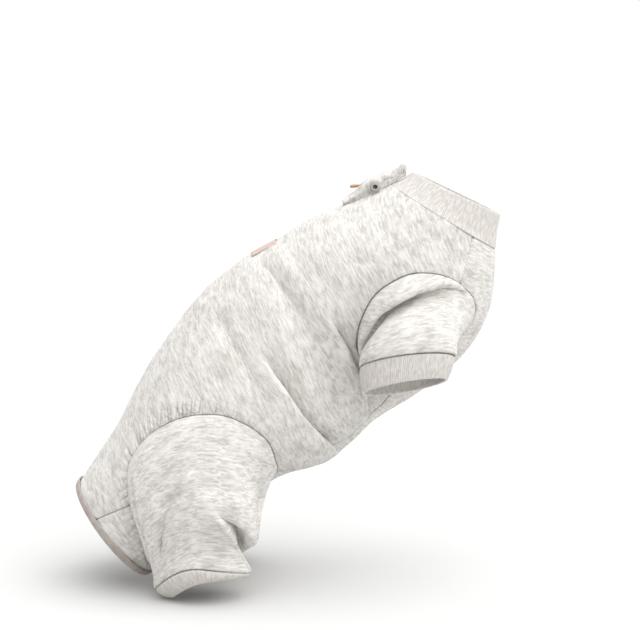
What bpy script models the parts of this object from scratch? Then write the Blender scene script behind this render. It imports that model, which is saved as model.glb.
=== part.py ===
"""Cat bodysuit: a four-sleeved suit in heather fleece, held in its worn, sitting form.

The suit is built from the pieces that are cut and sewn: a back panel, a chest and belly
panel, two front sleeves and two hind legs with ribbed cuffs, a ribbed collar, a binding
round the rear opening, a patch on the back, and a folded tab with a snap and a leather tip
at the back of the neck.

Sizes are in millimetres until a mesh is made.  +X points to the head, +Z up, and the right
side of the suit is at -Y.  The origin is where the suit bears on the wearer's withers.
"""
import math
from collections import namedtuple

import bmesh
import bpy
import numpy as np
from mathutils.geometry import delaunay_2d_cdt

MM = 0.001
WALL = 2.0            # thickness of the cloth
SEAM_GAP = 0.60       # clear space between two pieces along a seam
MESH_STEP = 15.5      # size of a panel's triangles
GIRTH_STEPS = 24      # chords used to measure half a girth

# ---------------------------------------------------------------- the body of the suit
# Each row is a flat section across the trunk, seen from the side as the line from a point
# on the back to a point on the belly.  "keel" narrows the section towards the belly.
Station = namedtuple("Station", "along back_x back_z belly_x belly_z half_width keel")
STATIONS = (
    Station(0, 16, 8, 95, -40, 42, 0.10),
    Station(35, -21, -8, 92, -82, 51, 0.18),
    Station(57, -37, -14, 80, -110, 55, 0.32),
    Station(82, -54, -23, 59, -134, 56, 0.52),
    Station(110, -71, -34, 33, -154, 57, 0.56),
    Station(137, -91, -45, 4, -172, 62, 0.34),
    Station(161, -108, -57, -16, -191, 65, 0.12),
    Station(185, -125, -71, -35, -205, 68, 0.00),
    Station(224, -152, -104, -72, -217, 70, 0.00),
    Station(265, -175, -139, -105, -244, 67, 0.05),
    Station(310, -197, -181, -139, -273, 59, 0.05),
    Station(354, -226, -224, -173, -293, 45, 0.00),
)
NECK = STATIONS[0].along
RIM = STATIONS[-1].along

# The largest folds: soft troughs pressed into the trunk, each along a line on its surface.
# Places are (along, turn); a turn of 0 is the middle of the back and 1 that of the belly.
Fold = namedtuple("Fold", "along_0 turn_0 along_1 turn_1 depth reach")
FOLDS = (
    Fold(118, 0.50, 134, 0.80, 4.0, 7.0),
    Fold(131, 0.20, 152, 0.82, 3.2, 12.0),
    Fold(169, 0.50, 165, 0.78, 3.0, 8.0),
    Fold(187, 0.24, 190, 0.54, 2.6, 9.0),
)

# Armholes, as closed outlines on the trunk.  "arrives" is how far round the cuff end of
# the sleeve, in turns from its outer side by way of its front, the cloth from there ends.
Edge = namedtuple("Edge", "along turn arrives")
FRONT_ARMHOLE = (
    Edge(42, 0.523, 0.02),
    Edge(34, 0.620, 0.10),
    Edge(37, 0.765, 0.20),
    Edge(48, 0.823, 0.27),
    Edge(62, 0.785, 0.35),
    Edge(80, 0.703, 0.47),
    Edge(99, 0.645, 0.58),
    Edge(114, 0.610, 0.68),
    Edge(112, 0.565, 0.75),
    Edge(99, 0.512, 0.82),
    Edge(75, 0.471, 0.88),
    Edge(55, 0.480, 0.95),
)
HIND_ARMHOLE = (
    Edge(231, 0.450, 0.00),
    Edge(215, 0.527, 0.07),
    Edge(206, 0.640, 0.15),
    Edge(211, 0.750, 0.22),
    Edge(219, 0.835, 0.30),
    Edge(245, 0.865, 0.40),
    Edge(285, 0.865, 0.50),
    Edge(320, 0.840, 0.60),
    Edge(341, 0.780, 0.68),
    Edge(331, 0.615, 0.76),
    Edge(319, 0.428, 0.82),
    Edge(305, 0.318, 0.87),
    Edge(283, 0.315, 0.91),
    Edge(253, 0.376, 0.96),
)
FRONT_SLEEVE_POINTS = 24
HIND_LEG_POINTS = 30

# Seams between the back and the belly panel, as (along, turn) points.  The rear seam ends
# on the rim at one of the sections of the binding.
RIM_POINTS = 44
REAR_SEAM_TURN = 16 / RIM_POINTS
CHEST_SEAM = ((0, 0.668), (34.5, 0.680))
SIDE_SEAM = ((90, 0.670), (106, 0.770), (128, 0.860), (158, 0.905), (190, 0.900), (219, 0.835))
REAR_SEAM = ((320, 0.444), (336, 0.412), (354, REAR_SEAM_TURN))

# ---------------------------------------------------------------- sleeves and cuffs
# A ring is an oval: centre, half length to the front and half width to the outer side.
# "nose" lifts its front end, "flare" its outer side and "heel" drops its rear.
Ring = namedtuple("Ring", "x y z half_length half_width nose flare heel")
FRONT_HEM = Ring(26.3, -57, -119.1, 34.2, 21, 4, 9.4, 0)
FRONT_CUFF_END = Ring(24.4, -57, -137.8, 30.3, 20.5, 5.1, 7.7, 0)
HIND_HEM = Ring(-126.5, -56, -276.6, 35.7, 25, -3.8, 6.3, 19)
HIND_CUFF_END = Ring(-125, -55, -285.5, 24, 21, 4, 3.5, 9)

# Courses of a sleeve, from the armhole to the hem.  "head" and "rest" are the shares of
# its head, above the fold, and of what is left below; "lift" moves the cloth out.
Course = namedtuple("Course", "head rest lift")
FRONT_COURSES = (
    Course(0.00, 0.00, 0.0),
    Course(0.40, 0.00, 2.6),
    Course(0.80, 0.00, 3.4),
    Course(1.00, 0.00, -2.4),
    Course(1.00, 0.12, 1.8),
    Course(1.00, 0.40, 2.0),
    Course(1.00, 0.70, 1.6),
    Course(1.00, 0.90, 2.6),
    Course(1.00, 1.00, 0.0),
)
FRONT_HEAD = (5.0, 13.0)          # least height of the sleeve's head, and what is added on top
FRONT_HEAD_SPAN = (-0.26, 0.15)   # turns round the cuff between which the head stands out
FULL_LINE = 45.0                  # a shorter line of the sleeve is lifted less

# The crease in front of the hock: "push" moves a course out at the sleeve's front, and
# "drop" moves it down there, by a share of its line.
LegCourse = namedtuple("LegCourse", "rest lift push drop")
HIND_COURSES = (
    LegCourse(0.00, 0.0, 0.0, 0.00),
    LegCourse(0.10, 2.5, 0.0, 0.00),
    LegCourse(0.28, 4.0, 0.0, 0.02),
    LegCourse(0.44, 3.5, 2.5, 0.08),
    LegCourse(0.57, 2.5, 8.5, 0.19),
    LegCourse(0.65, 1.5, -7.0, 0.17),
    LegCourse(0.75, 1.5, -4.0, 0.11),
    LegCourse(0.88, 2.2, 0.0, 0.03),
    LegCourse(1.00, 0.0, 0.0, 0.00),
)
CREASE_TURN = 0.25                # where round the hem the crease is deepest
CREASE_SPREAD = 0.14              # and how far round it fades away
CUFF_CLEAR = 0.5                  # extra clear space between a sleeve and its cuff

# ---------------------------------------------------------------- collar, rim and trims
COLLAR_POINTS = 36
COLLAR_BACK = (33.0, 17.6)        # x and z of the collar's free edge at the back
COLLAR_FRONT = (98.5, -13.6)      # and at the throat
COLLAR_HALF_WIDTH = 33.0

BINDING_ARM = 4.4                 # how far the binding reaches over the cloth
BINDING_WALL = 1.1
BINDING_CLEAR = 0.85

LABEL_SPAN = (111.5, 136.0)       # along, front and rear edge of the patch on the back
LABEL_HALF_WIDTH = 15.0
LABEL_WALL = 1.0

# The folded tab at the back of the neck: sections across it from front to rear.
# "lip" is how high its right-hand edge stands off the back.
TabRow = namedtuple("TabRow", "x base height half_width lip")
TAB = (
    TabRow(27.0, 16.6, 5.6, 5.5, 3.0),
    TabRow(24.5, 15.0, 8.6, 7.5, 4.0),
    TabRow(18.0, 11.4, 7.6, 8.5, 4.0),
    TabRow(9.0, 7.3, 8.8, 9.5, 3.5),
    TabRow(0.0, 3.2, 10.0, 10.0, 3.0),
    TabRow(-7.0, 0.2, 7.8, 9.5, 2.0),
    TabRow(-14.0, -2.8, 4.6, 8.5, 1.2),
    TabRow(-21.0, -5.7, 2.4, 7.0, 0.8),
)
TAB_WALL = 1.6
TAB_SWEEP = 10                    # steps from one edge of the tab over to the other
BACK_RADIUS = 34.0                # how the back rounds away to each side under the tab

SNAP_CENTRE = (3.2, -11.9, 7.2)
SNAP_RADIUS = 4.2
SNAP_SOCKET = 1.8
SNAP_WALL = 1.4

TIP_START = (-3.6, -1.5, 12.6)
TIP_END = (-15.6, -2.5, 7.9)

Paint = namedtuple("Paint", "red green blue roughness metallic")
FLEECE = Paint(0.79, 0.77, 0.74, 0.95, 0.0)
RIB = Paint(0.76, 0.74, 0.69, 0.95, 0.0)
TAPE = Paint(0.36, 0.33, 0.31, 0.90, 0.0)
PATCH = Paint(0.55, 0.40, 0.36, 0.80, 0.0)
SNAP = Paint(0.03, 0.03, 0.03, 0.35, 0.6)
LEATHER = Paint(0.42, 0.20, 0.07, 0.55, 0.0)


# ---------------------------------------------------------------- small maths
def smooth_row(rows, at):
    """A row of a table read at a place between its rows, by a smooth curve through them."""
    keys = rows[:, 0]
    last = len(keys) - 1
    at = min(max(at, keys[0]), keys[-1])
    i = min(max(int(np.searchsorted(keys, at, side="right")) - 1, 0), last - 1)
    step = keys[i + 1] - keys[i]
    t = (at - keys[i]) / step

    def slope(k):
        before = max(k - 1, 0)
        after = min(k + 1, last)
        return (rows[after] - rows[before]) / (keys[after] - keys[before])

    start = (2 * t**3 - 3 * t**2 + 1) * rows[i] + (t**3 - 2 * t**2 + t) * step * slope(i)
    end = (3 * t**2 - 2 * t**3) * rows[i + 1] + (t**3 - t**2) * step * slope(i + 1)
    return start + end


def unit(vectors):
    """Vectors scaled to length one."""
    vectors = np.asarray(vectors, float)
    return vectors / np.linalg.norm(vectors, axis=-1, keepdims=True)


def bell(distance, reach):
    """1 at no distance, falling smoothly to almost nothing at twice the reach."""
    return math.exp(-((distance / reach) ** 2))


# ---------------------------------------------------------------- the trunk's surface
STATION_TABLE = np.array(STATIONS, float)


def plain_trunk(along, turn):
    """Middle of the cloth on the trunk's right half, before any fold."""
    _, back_x, back_z, belly_x, belly_z, half_width, keel = smooth_row(STATION_TABLE, along)
    angle = math.pi * turn
    depth = 0.5 - 0.5 * math.cos(angle)
    widest = 1.0
    if keel > 1e-6:
        cosine = (math.sqrt(1 + 8 * keel**2) - 1) / (4 * keel)
        widest = math.sqrt(1 - cosine**2) * (1 + keel * cosine)
    side = math.sin(angle) * (1 + keel * math.cos(angle)) / widest
    x = back_x + depth * (belly_x - back_x)
    z = back_z + depth * (belly_z - back_z)
    return np.array((x, -half_width * side, z))


def trunk_normal(along, turn):
    """Outward direction of the trunk's surface."""
    ahead = plain_trunk(min(along + 1, RIM), turn) - plain_trunk(max(along - 1, NECK), turn)
    low = max(turn - 0.004, 0.0)
    high = min(turn + 0.004, 1.0)
    across = plain_trunk(along, high) - plain_trunk(along, low)
    return unit(np.cross(ahead, across))


def half_girth(along):
    """Length round the trunk from the middle of the back to the middle of the belly."""
    ring = [plain_trunk(along, i / GIRTH_STEPS) for i in range(GIRTH_STEPS + 1)]
    return float(np.linalg.norm(np.diff(ring, axis=0), axis=1).sum())


def fold_depth(along, turn):
    """How deep the folds press the cloth in at one place."""
    girth = half_girth(along)
    here = np.array((along, turn * girth))
    depth = 0.0
    for fold in FOLDS:
        start = np.array((fold.along_0, fold.turn_0 * girth))
        run = np.array((fold.along_1, fold.turn_1 * girth)) - start
        share = float(np.dot(here - start, run) / np.dot(run, run))
        near = start + min(max(share, 0.0), 1.0) * run
        depth += fold.depth * bell(np.linalg.norm(here - near), fold.reach)
    return depth


def trunk(along, turn):
    """Middle of the cloth on the trunk's right half, folds included."""
    plain = plain_trunk(along, turn)
    pressed = plain - fold_depth(along, turn) * trunk_normal(along, turn)
    if turn <= 0.0 or turn >= 1.0:
        pressed[1] = 0.0
    return pressed


# ---------------------------------------------------------------- outlines on the trunk
def closed_outline(edges, count):
    """Evenly spaced rows of a closed outline given by a few of its rows."""
    rows = np.array(edges, float)
    lap = (0, 0, 1)
    looped = np.vstack((rows[-1:] - lap, rows, rows[:2] + lap))
    fine = []
    for i in range(len(rows)):
        p0, p1, p2, p3 = looped[i:i + 4]
        for t in np.linspace(0, 1, 12, endpoint=False):
            fine.append(0.5 * (2 * p1 + (p2 - p0) * t + (2 * p0 - 5 * p1 + 4 * p2 - p3) * t**2
                               + (3 * p1 - p0 - 3 * p2 + p3) * t**3))
    fine.append(rows[0] + lap)
    fine = np.array(fine)
    places = np.array([plain_trunk(a, t) for a, t, _ in fine])
    walked = np.concatenate(((0,), np.cumsum(np.linalg.norm(np.diff(places, axis=0), axis=1))))
    stops = np.linspace(0, walked[-1], count, endpoint=False)
    return np.column_stack([np.interp(stops, walked, fine[:, k]) for k in range(3)])


def nearest(outline, place):
    """Which point of an outline is nearest to a place on the trunk."""
    girth = half_girth(place[0])
    off = (outline[:, :2] - place) * (1, girth)
    return int(np.argmin(np.linalg.norm(off, axis=1)))


def arc(outline, first, last, forward):
    """The points of a closed outline from one to another, going one way round."""
    count = len(outline)
    step = 1 if forward else -1
    picked = [first]
    while picked[-1] != last:
        picked.append((picked[-1] + step) % count)
    return [tuple(outline[i, :2]) for i in picked]


def along_line(points, step):
    """Points about one step apart along a run of (along, turn) points, ends included."""
    walked = [tuple(points[0])]
    for start, end in zip(points[:-1], points[1:]):
        run = np.linalg.norm(plain_trunk(*end) - plain_trunk(*start))
        parts = max(1, round(run / step))
        for k in range(1, parts + 1):
            walked.append(tuple(np.add(start, np.subtract(end, start) * k / parts)))
    return walked


def rim_line(start, end):
    """Points along the rim between two turns, at the sections of the binding."""
    steps = round(abs(end - start) * RIM_POINTS / 2)
    return [(RIM, start + (end - start) * k / steps) for k in range(1, steps + 1)]


# ---------------------------------------------------------------- objects
def material(name, paint):
    """A Principled material of one colour."""
    made = bpy.data.materials.new(name)
    made.use_nodes = True
    shader = made.node_tree.nodes["Principled BSDF"]
    shader.inputs["Base Color"].default_value = (paint.red, paint.green, paint.blue, 1.0)
    shader.inputs["Roughness"].default_value = paint.roughness
    shader.inputs["Metallic"].default_value = paint.metallic
    return made


def new_object(name, points, faces, paint):
    """An object in the suit's collection, from points in millimetres."""
    mesh = bpy.data.meshes.new(name)
    mesh.from_pydata([tuple(float(c) * MM for c in p) for p in points], [], faces)
    mesh.materials.append(material(name, paint))
    mesh.shade_smooth()
    made = bpy.data.objects.new(name, mesh)
    bpy.data.collections[SUIT].objects.link(made)
    return made


def thicken(sheet, wall):
    """Give an open sheet its thickness, half to each side."""
    solidify = sheet.modifiers.new("cloth thickness", "SOLIDIFY")
    solidify.thickness = wall * MM
    solidify.offset = 0.0
    solidify.use_quality_normals = True


def tube(name, rings, paint, wall=WALL, side=-1):
    """An open tube of cloth through rings of points; side +1 makes the left-hand copy."""
    count = len(rings[0])
    points = [p * (1, -side, 1) for ring in rings for p in ring]
    faces = []
    for r in range(len(rings) - 1):
        for i in range(count):
            j = (i + 1) % count
            quad = (r * count + i, r * count + j, (r + 1) * count + j, (r + 1) * count + i)
            faces.append(quad if side < 0 else quad[::-1])
    made = new_object(name, points, faces, paint)
    thicken(made, wall)
    return made


# ---------------------------------------------------------------- panels
def inside(polygon, point):
    """Whether a flat point lies inside a polygon."""
    hits = 0
    for (x0, y0), (x1, y1) in zip(polygon, polygon[1:] + polygon[:1]):
        if (y0 > point[1]) != (y1 > point[1]):
            if point[0] < x0 + (point[1] - y0) / (y1 - y0) * (x1 - x0):
                hits += 1
    return hits % 2 == 1


def distance_to(polygon, point):
    """How far a flat point is from a polygon's outline."""
    starts = np.array(polygon)
    runs = np.roll(starts, -1, axis=0) - starts
    share = np.einsum("ij,ij->i", point - starts, runs) / np.einsum("ij,ij->i", runs, runs)
    near = starts + np.clip(share, 0, 1)[:, None] * runs
    return float(np.linalg.norm(point - near, axis=1).min())


def panel(name, border, from_belly, paint):
    """A panel whose right half has the given border of (along, turn) points.

    The border is laid flat, filled with triangles of about MESH_STEP, put back on the
    trunk, kept half a seam gap inside its border and mirrored to the left half.
    """
    girths = {}

    def girth(along):
        return girths.setdefault(round(along, 6), half_girth(along))

    def flatten(along, turn):
        across = 1.0 - turn if from_belly else turn
        return (along, across * girth(along))

    def unflatten(x, y):
        across = y / girth(x)
        return (x, 1.0 - across if from_belly else across)

    flat = [flatten(a, t) for a, t in border]
    corners = np.array(flat)
    fill = []
    row_step = MESH_STEP * math.sqrt(3) / 2
    for row in range(int(np.ptp(corners[:, 0]) / row_step) + 2):
        x = corners[:, 0].min() + row * row_step
        for column in range(int(corners[:, 1].max() / MESH_STEP) + 2):
            y = (column + 0.5 * (row % 2)) * MESH_STEP
            spot = np.array((x, y))
            if inside(flat, spot) and distance_to(flat, spot) > 0.55 * MESH_STEP:
                fill.append((x, y))
    rim_edges = [(i, (i + 1) % len(flat)) for i in range(len(flat))]
    flat_points, _, faces, _, _, _ = delaunay_2d_cdt(flat + fill, rim_edges, [], 1, 1e-4)
    points = [trunk(*unflatten(p[0], p[1])) for p in flat_points]
    if not from_belly:
        faces = [face[::-1] for face in faces]
    made = new_object(name, points, faces, paint)
    draw_in_edges(made.data)
    mirror = made.modifiers.new("left half", "MIRROR")
    mirror.use_axis = (False, True, False)
    mirror.merge_threshold = 0.0001
    thicken(made, WALL)
    return made


def draw_in_edges(mesh):
    """Move a half panel's border in by half a seam gap, except where the halves meet."""
    shape = bmesh.new()
    shape.from_mesh(mesh)
    shape.normal_update()
    moves = {}
    for edge in shape.edges:
        if len(edge.link_faces) != 1:
            continue
        a, b = edge.verts
        if abs(a.co.y) < 1e-7 and abs(b.co.y) < 1e-7:
            continue
        face = edge.link_faces[0]
        inward = face.normal.cross(b.co - a.co).normalized()
        if inward.dot(face.calc_center_median() - a.co) < 0:
            inward.negate()
        for vert in (a, b):
            moves.setdefault(vert, []).append(inward)
    for vert, ways in moves.items():
        middle = abs(vert.co.y) < 1e-7
        way = sum(ways[1:], ways[0].copy()).normalized()
        vert.co += way * (0.5 * SEAM_GAP * MM)
        if middle:
            vert.co.y = 0.0
    shape.to_mesh(mesh)
    shape.free()


def panels(front_hole, hind_hole):
    """The back panel, and the chest and belly panel."""
    chest = nearest(front_hole, CHEST_SEAM[-1])
    axilla = nearest(front_hole, SIDE_SEAM[0])
    groin = nearest(hind_hole, SIDE_SEAM[-1])
    rump = nearest(hind_hole, REAR_SEAM[0])
    chest_seam = along_line(CHEST_SEAM[:-1] + (tuple(front_hole[chest, :2]),), 11)
    side_seam = along_line((tuple(front_hole[axilla, :2]),) + SIDE_SEAM[1:-1]
                           + (tuple(hind_hole[groin, :2]),), 11)
    rear_seam = along_line((tuple(hind_hole[rump, :2]),) + REAR_SEAM[1:], 11)

    back = along_line(((NECK, 0.0), (NECK, CHEST_SEAM[0][1])), 9)
    back += chest_seam[1:]
    back += arc(front_hole, chest, axilla, forward=False)[1:]
    back += side_seam[1:]
    back += arc(hind_hole, groin, rump, forward=False)[1:]
    back += rear_seam[1:]
    back += rim_line(REAR_SEAM_TURN, 0.0)
    back += along_line(((RIM, 0.0), (NECK, 0.0)), MESH_STEP)[1:-1]
    panel("back_panel", back, False, FLEECE)

    belly = along_line(((NECK, 1.0), (NECK, CHEST_SEAM[0][1])), 9)
    belly += chest_seam[1:]
    belly += arc(front_hole, chest, axilla, forward=True)[1:]
    belly += side_seam[1:]
    belly += arc(hind_hole, groin, rump, forward=True)[1:]
    belly += rear_seam[1:]
    belly += rim_line(REAR_SEAM_TURN, 1.0)
    belly += along_line(((RIM, 1.0), (NECK, 1.0)), MESH_STEP)[1:-1]
    panel("chest_belly_panel", belly, True, FLEECE)


# ---------------------------------------------------------------- sleeves
def ring_point(ring, turns):
    """A point of an oval ring; 0 turns is its outer side and a quarter turn its front."""
    ahead = math.sin(math.tau * turns)
    outer = math.cos(math.tau * turns)
    behind = max(0.0, -ahead)
    z = ring.z + ring.nose * ahead + ring.flare * outer - ring.heel * behind**2
    return np.array((ring.x + ring.half_length * ahead, ring.y - ring.half_width * outer, z))


def sleeve_lines(hole, hem):
    """Where each line of a sleeve starts and ends, and the direction in which it sets off.

    A line leaves the armhole along the trunk where the sleeve hangs that way, and away
    from the trunk where it does not.
    """
    edge = np.array([plain_trunk(a, t) for a, t, _ in hole])
    outward = np.array([trunk_normal(a, t) for a, t, _ in hole])
    tangent = unit(np.roll(edge, -1, axis=0) - np.roll(edge, 1, axis=0))
    into_hole = unit(np.cross(tangent, outward))
    ends = np.array([ring_point(hem, arrives) for _, _, arrives in hole])
    goes = unit(ends - edge)
    agree = 0.5 + 0.5 * np.einsum("ij,ij->i", goes, into_hole)
    leave = unit(into_hole * agree[:, None] + outward * (1.0 - agree)[:, None])
    bend = np.sqrt(np.clip(1.0 - np.einsum("ij,ij->i", leave, into_hole) ** 2, 0, 1))
    starts = edge + into_hole * (0.5 * SEAM_GAP + 0.55 * WALL * bend)[:, None]
    return starts, leave, ends


def sleeve_rings(starts, leave, ends, arrive_way, shares, lifts):
    """Rings of a sleeve: smooth lines from the armhole to the hem, with the cloth lifted.

    shares and lifts have a row for each course and a column for each line.
    """
    reach = np.linalg.norm(ends - starts, axis=1)[:, None]
    set_off = leave * reach
    arrive = np.array(arrive_way) * reach

    def place(v):
        v = v[:, None]
        return ((2 * v**3 - 3 * v**2 + 1) * starts + (v**3 - 2 * v**2 + v) * set_off
                + (3 * v**2 - 2 * v**3) * ends + (v**3 - v**2) * arrive)

    rings = []
    for share, lift in zip(shares, lifts):
        middle = place(share)
        down = place(np.minimum(share + 0.02, 1.0)) - place(np.maximum(share - 0.02, 0.0))
        around = np.roll(middle, -1, axis=0) - np.roll(middle, 1, axis=0)
        rings.append(middle + unit(np.cross(down, around)) * lift[:, None])
    return rings


def front_sleeve_rings(hole):
    """Rings of the right front sleeve: a puffed head that folds over the part below it."""
    starts, leave, ends = sleeve_lines(hole, FRONT_HEM)
    reach = np.linalg.norm(ends - starts, axis=1)
    low, high = FRONT_HEAD_SPAN
    turns = (hole[:, 2] + 0.5) % 1.0 - 0.5
    stands = np.sin(math.pi * np.clip((turns - low) / (high - low), 0, 1)) ** 0.8
    head = (FRONT_HEAD[0] + FRONT_HEAD[1] * stands) / np.maximum(reach, 3 * FRONT_HEAD[0])
    shares = [course.head * head + course.rest * (1 - head) for course in FRONT_COURSES]
    full = np.minimum(reach / FULL_LINE, 1.0)
    lifts = [course.lift * full * (stands if course.rest == 0 else 0.35 + 0.65 * stands)
             for course in FRONT_COURSES]
    return sleeve_rings(starts, leave, ends, (0.05, 0.05, -1.0), shares, lifts)


def hind_leg_rings(hole):
    """Rings of the right hind leg: a full thigh, and a crease in front below the knee."""
    starts, leave, ends = sleeve_lines(hole, HIND_HEM)
    reach = np.linalg.norm(ends - starts, axis=1)
    turns = (hole[:, 2] - CREASE_TURN + 0.5) % 1.0 - 0.5
    crease = np.exp(-((turns / CREASE_SPREAD) ** 2))
    full = reach / reach.max()
    shares = [course.rest + course.drop * crease for course in HIND_COURSES]
    lifts = [course.lift * full + course.push * crease for course in HIND_COURSES]
    return sleeve_rings(starts, leave, ends, (0.0, 0.0, -1.0), shares, lifts)


def cuff_rings(hole, hem, end, bulge):
    """Rings of a ribbed cuff, from a seam gap below the hem to its free end."""
    seam = np.array([ring_point(hem, t) for t in hole[:, 2]])
    free = np.array([ring_point(end, t) for t in hole[:, 2]])
    down = unit(free - seam)
    bend = np.linalg.norm(down[:, :2], axis=1)
    centre = 0.5 * (seam.mean(axis=0) + free.mean(axis=0))
    outward = seam - centre
    outward[:, 2] = 0
    outward = unit(outward)
    start = seam - np.array((0, 0, 1)) * (SEAM_GAP + CUFF_CLEAR + 0.5 * WALL * bend)[:, None]
    rings = []
    for share in (0.0, 0.5, 1.0):
        swell = bulge * math.sin(math.pi * share)
        rings.append(start + (free - start) * share + outward * swell)
    return rings


def sleeves(front_hole, hind_hole):
    """The four sleeves and their cuffs."""
    front = front_sleeve_rings(front_hole)
    hind = hind_leg_rings(hind_hole)
    front_cuff = cuff_rings(front_hole, FRONT_HEM, FRONT_CUFF_END, 0.8)
    hind_cuff = cuff_rings(hind_hole, HIND_HEM, HIND_CUFF_END, 2.2)
    for label, side in (("right", -1), ("left", 1)):
        tube("front_sleeve_" + label, front, FLEECE, side=side)
        tube("front_cuff_" + label, front_cuff, RIB, side=side)
        tube("hind_leg_" + label, hind, FLEECE, side=side)
        tube("hind_cuff_" + label, hind_cuff, RIB, side=side)


# ---------------------------------------------------------------- collar and binding
def whole_ring(along, count):
    """Points and outward directions all round the trunk at one station."""
    points = []
    normals = []
    for i in range(count):
        turn = 2.0 * i / count
        mirrored = turn > 1.0
        turn = 2.0 - turn if mirrored else turn
        flip = np.array((1, -1, 1) if mirrored else (1, 1, 1))
        points.append(plain_trunk(along, turn) * flip)
        normals.append(trunk_normal(along, turn) * flip)
    return np.array(points), np.array(normals)


def collar():
    """The ribbed collar, from the neck seam to its free edge."""
    seam, _ = whole_ring(NECK, COLLAR_POINTS)
    back = np.array((COLLAR_BACK[0], 0, COLLAR_BACK[1]))
    front = np.array((COLLAR_FRONT[0], 0, COLLAR_FRONT[1]))
    free = []
    for i in range(COLLAR_POINTS):
        angle = math.tau * i / COLLAR_POINTS
        spot = back + (front - back) * (0.5 - 0.5 * math.cos(angle))
        free.append(spot + (0, -COLLAR_HALF_WIDTH * math.sin(angle), 0))
    free = np.array(free)
    start = seam + unit(free - seam) * SEAM_GAP
    rings = [start + (free - start) * share for share in (0.0, 0.5, 1.0)]
    tube("collar", rings[::-1], RIB)


def rear_binding():
    """The tape folded over the rim of the rear opening."""
    rim, out = whole_ring(RIM, RIM_POINTS)
    inner, _ = whole_ring(RIM - 2.0, RIM_POINTS)
    beyond = unit(rim - inner)
    near = 0.5 * WALL + BINDING_CLEAR
    far = near + BINDING_WALL
    base = BINDING_CLEAR
    profile = (
        (far, -BINDING_ARM),
        (far, base),
        (0.0, base + BINDING_WALL),
        (-far, base),
        (-far, -BINDING_ARM),
        (-near, -BINDING_ARM),
        (-near, base - 0.1),
        (near, base - 0.1),
        (near, -BINDING_ARM),
    )
    points = [rim[i] + out[i] * n + beyond[i] * a for i in range(RIM_POINTS) for n, a in profile]
    corners = len(profile)
    faces = []
    for i in range(RIM_POINTS):
        j = (i + 1) % RIM_POINTS
        for c in range(corners):
            d = (c + 1) % corners
            faces.append((i * corners + c, i * corners + d, j * corners + d, j * corners + c))
    new_object("rear_binding", points, faces, TAPE)


# ---------------------------------------------------------------- trims on the back
def back_label():
    """The plain patch on the back, made from the panel's own points, moved out."""
    rows = 4
    columns = 6
    off = 0.5 * WALL + 0.35 + 0.5 * LABEL_WALL
    points = []
    for r in range(rows + 1):
        along = LABEL_SPAN[0] + (LABEL_SPAN[1] - LABEL_SPAN[0]) * r / rows
        girth = half_girth(along)
        for c in range(columns + 1):
            y = LABEL_HALF_WIDTH * (2.0 * c / columns - 1.0)
            turn = abs(y) / girth
            flip = np.array((1, -1, 1) if y > 0 else (1, 1, 1))
            points.append((plain_trunk(along, turn) + off * trunk_normal(along, turn)) * flip)
    faces = []
    for r in range(rows):
        for c in range(columns):
            a = r * (columns + 1) + c
            faces.append((a, a + columns + 1, a + columns + 2, a + 1))
    made = new_object("back_label", points, faces, PATCH)
    thicken(made, LABEL_WALL)


def neck_tab():
    """The folded tab: an arch of cloth along the middle of the back, its right edge raised."""
    points = []
    for row in TAB:
        for k in range(TAB_SWEEP + 1):
            angle = math.pi * k / TAB_SWEEP
            y = -row.half_width * math.cos(angle)
            floor = row.base - row.half_width**2 / (2 * BACK_RADIUS)
            lip = row.lip * max(0.0, math.cos(angle))
            foot = floor + lip
            z = foot + (row.base + row.height - foot) * math.sin(angle) ** 0.8
            points.append((row.x, y, z))
    across = TAB_SWEEP + 1
    faces = []
    for r in range(len(TAB) - 1):
        for k in range(TAB_SWEEP):
            a = r * across + k
            faces.append((a, a + across, a + across + 1, a + 1))
    made = new_object("neck_tab", points, faces, FLEECE)
    thicken(made, TAB_WALL)


def tab_snap():
    """The press stud on the right side of the tab: a turned disc with a socket."""
    profile = (
        (0.0, 0.5 * SNAP_WALL),
        (SNAP_SOCKET, 0.5 * SNAP_WALL),
        (SNAP_SOCKET + 0.5, SNAP_WALL),
        (SNAP_RADIUS - 0.5, SNAP_WALL),
        (SNAP_RADIUS, 0.6 * SNAP_WALL),
        (SNAP_RADIUS, 0.0),
        (0.0, 0.0),
    )
    mesh_points = [(r, 0.0, h) for r, h in profile]
    edges = [(i, i + 1) for i in range(len(profile) - 1)]
    mesh = bpy.data.meshes.new("tab_snap")
    mesh.from_pydata([tuple(c * MM for c in p) for p in mesh_points], edges, [])
    mesh.materials.append(material("tab_snap", SNAP))
    made = bpy.data.objects.new("tab_snap", mesh)
    bpy.data.collections[SUIT].objects.link(made)
    turned = made.modifiers.new("turned", "SCREW")
    turned.steps = 16
    turned.render_steps = 16
    turned.use_merge_vertices = True
    turned.merge_threshold = 0.00005
    made.rotation_euler = (math.radians(68), 0.0, 0.0)
    made.location = tuple(c * MM for c in SNAP_CENTRE)


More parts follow.
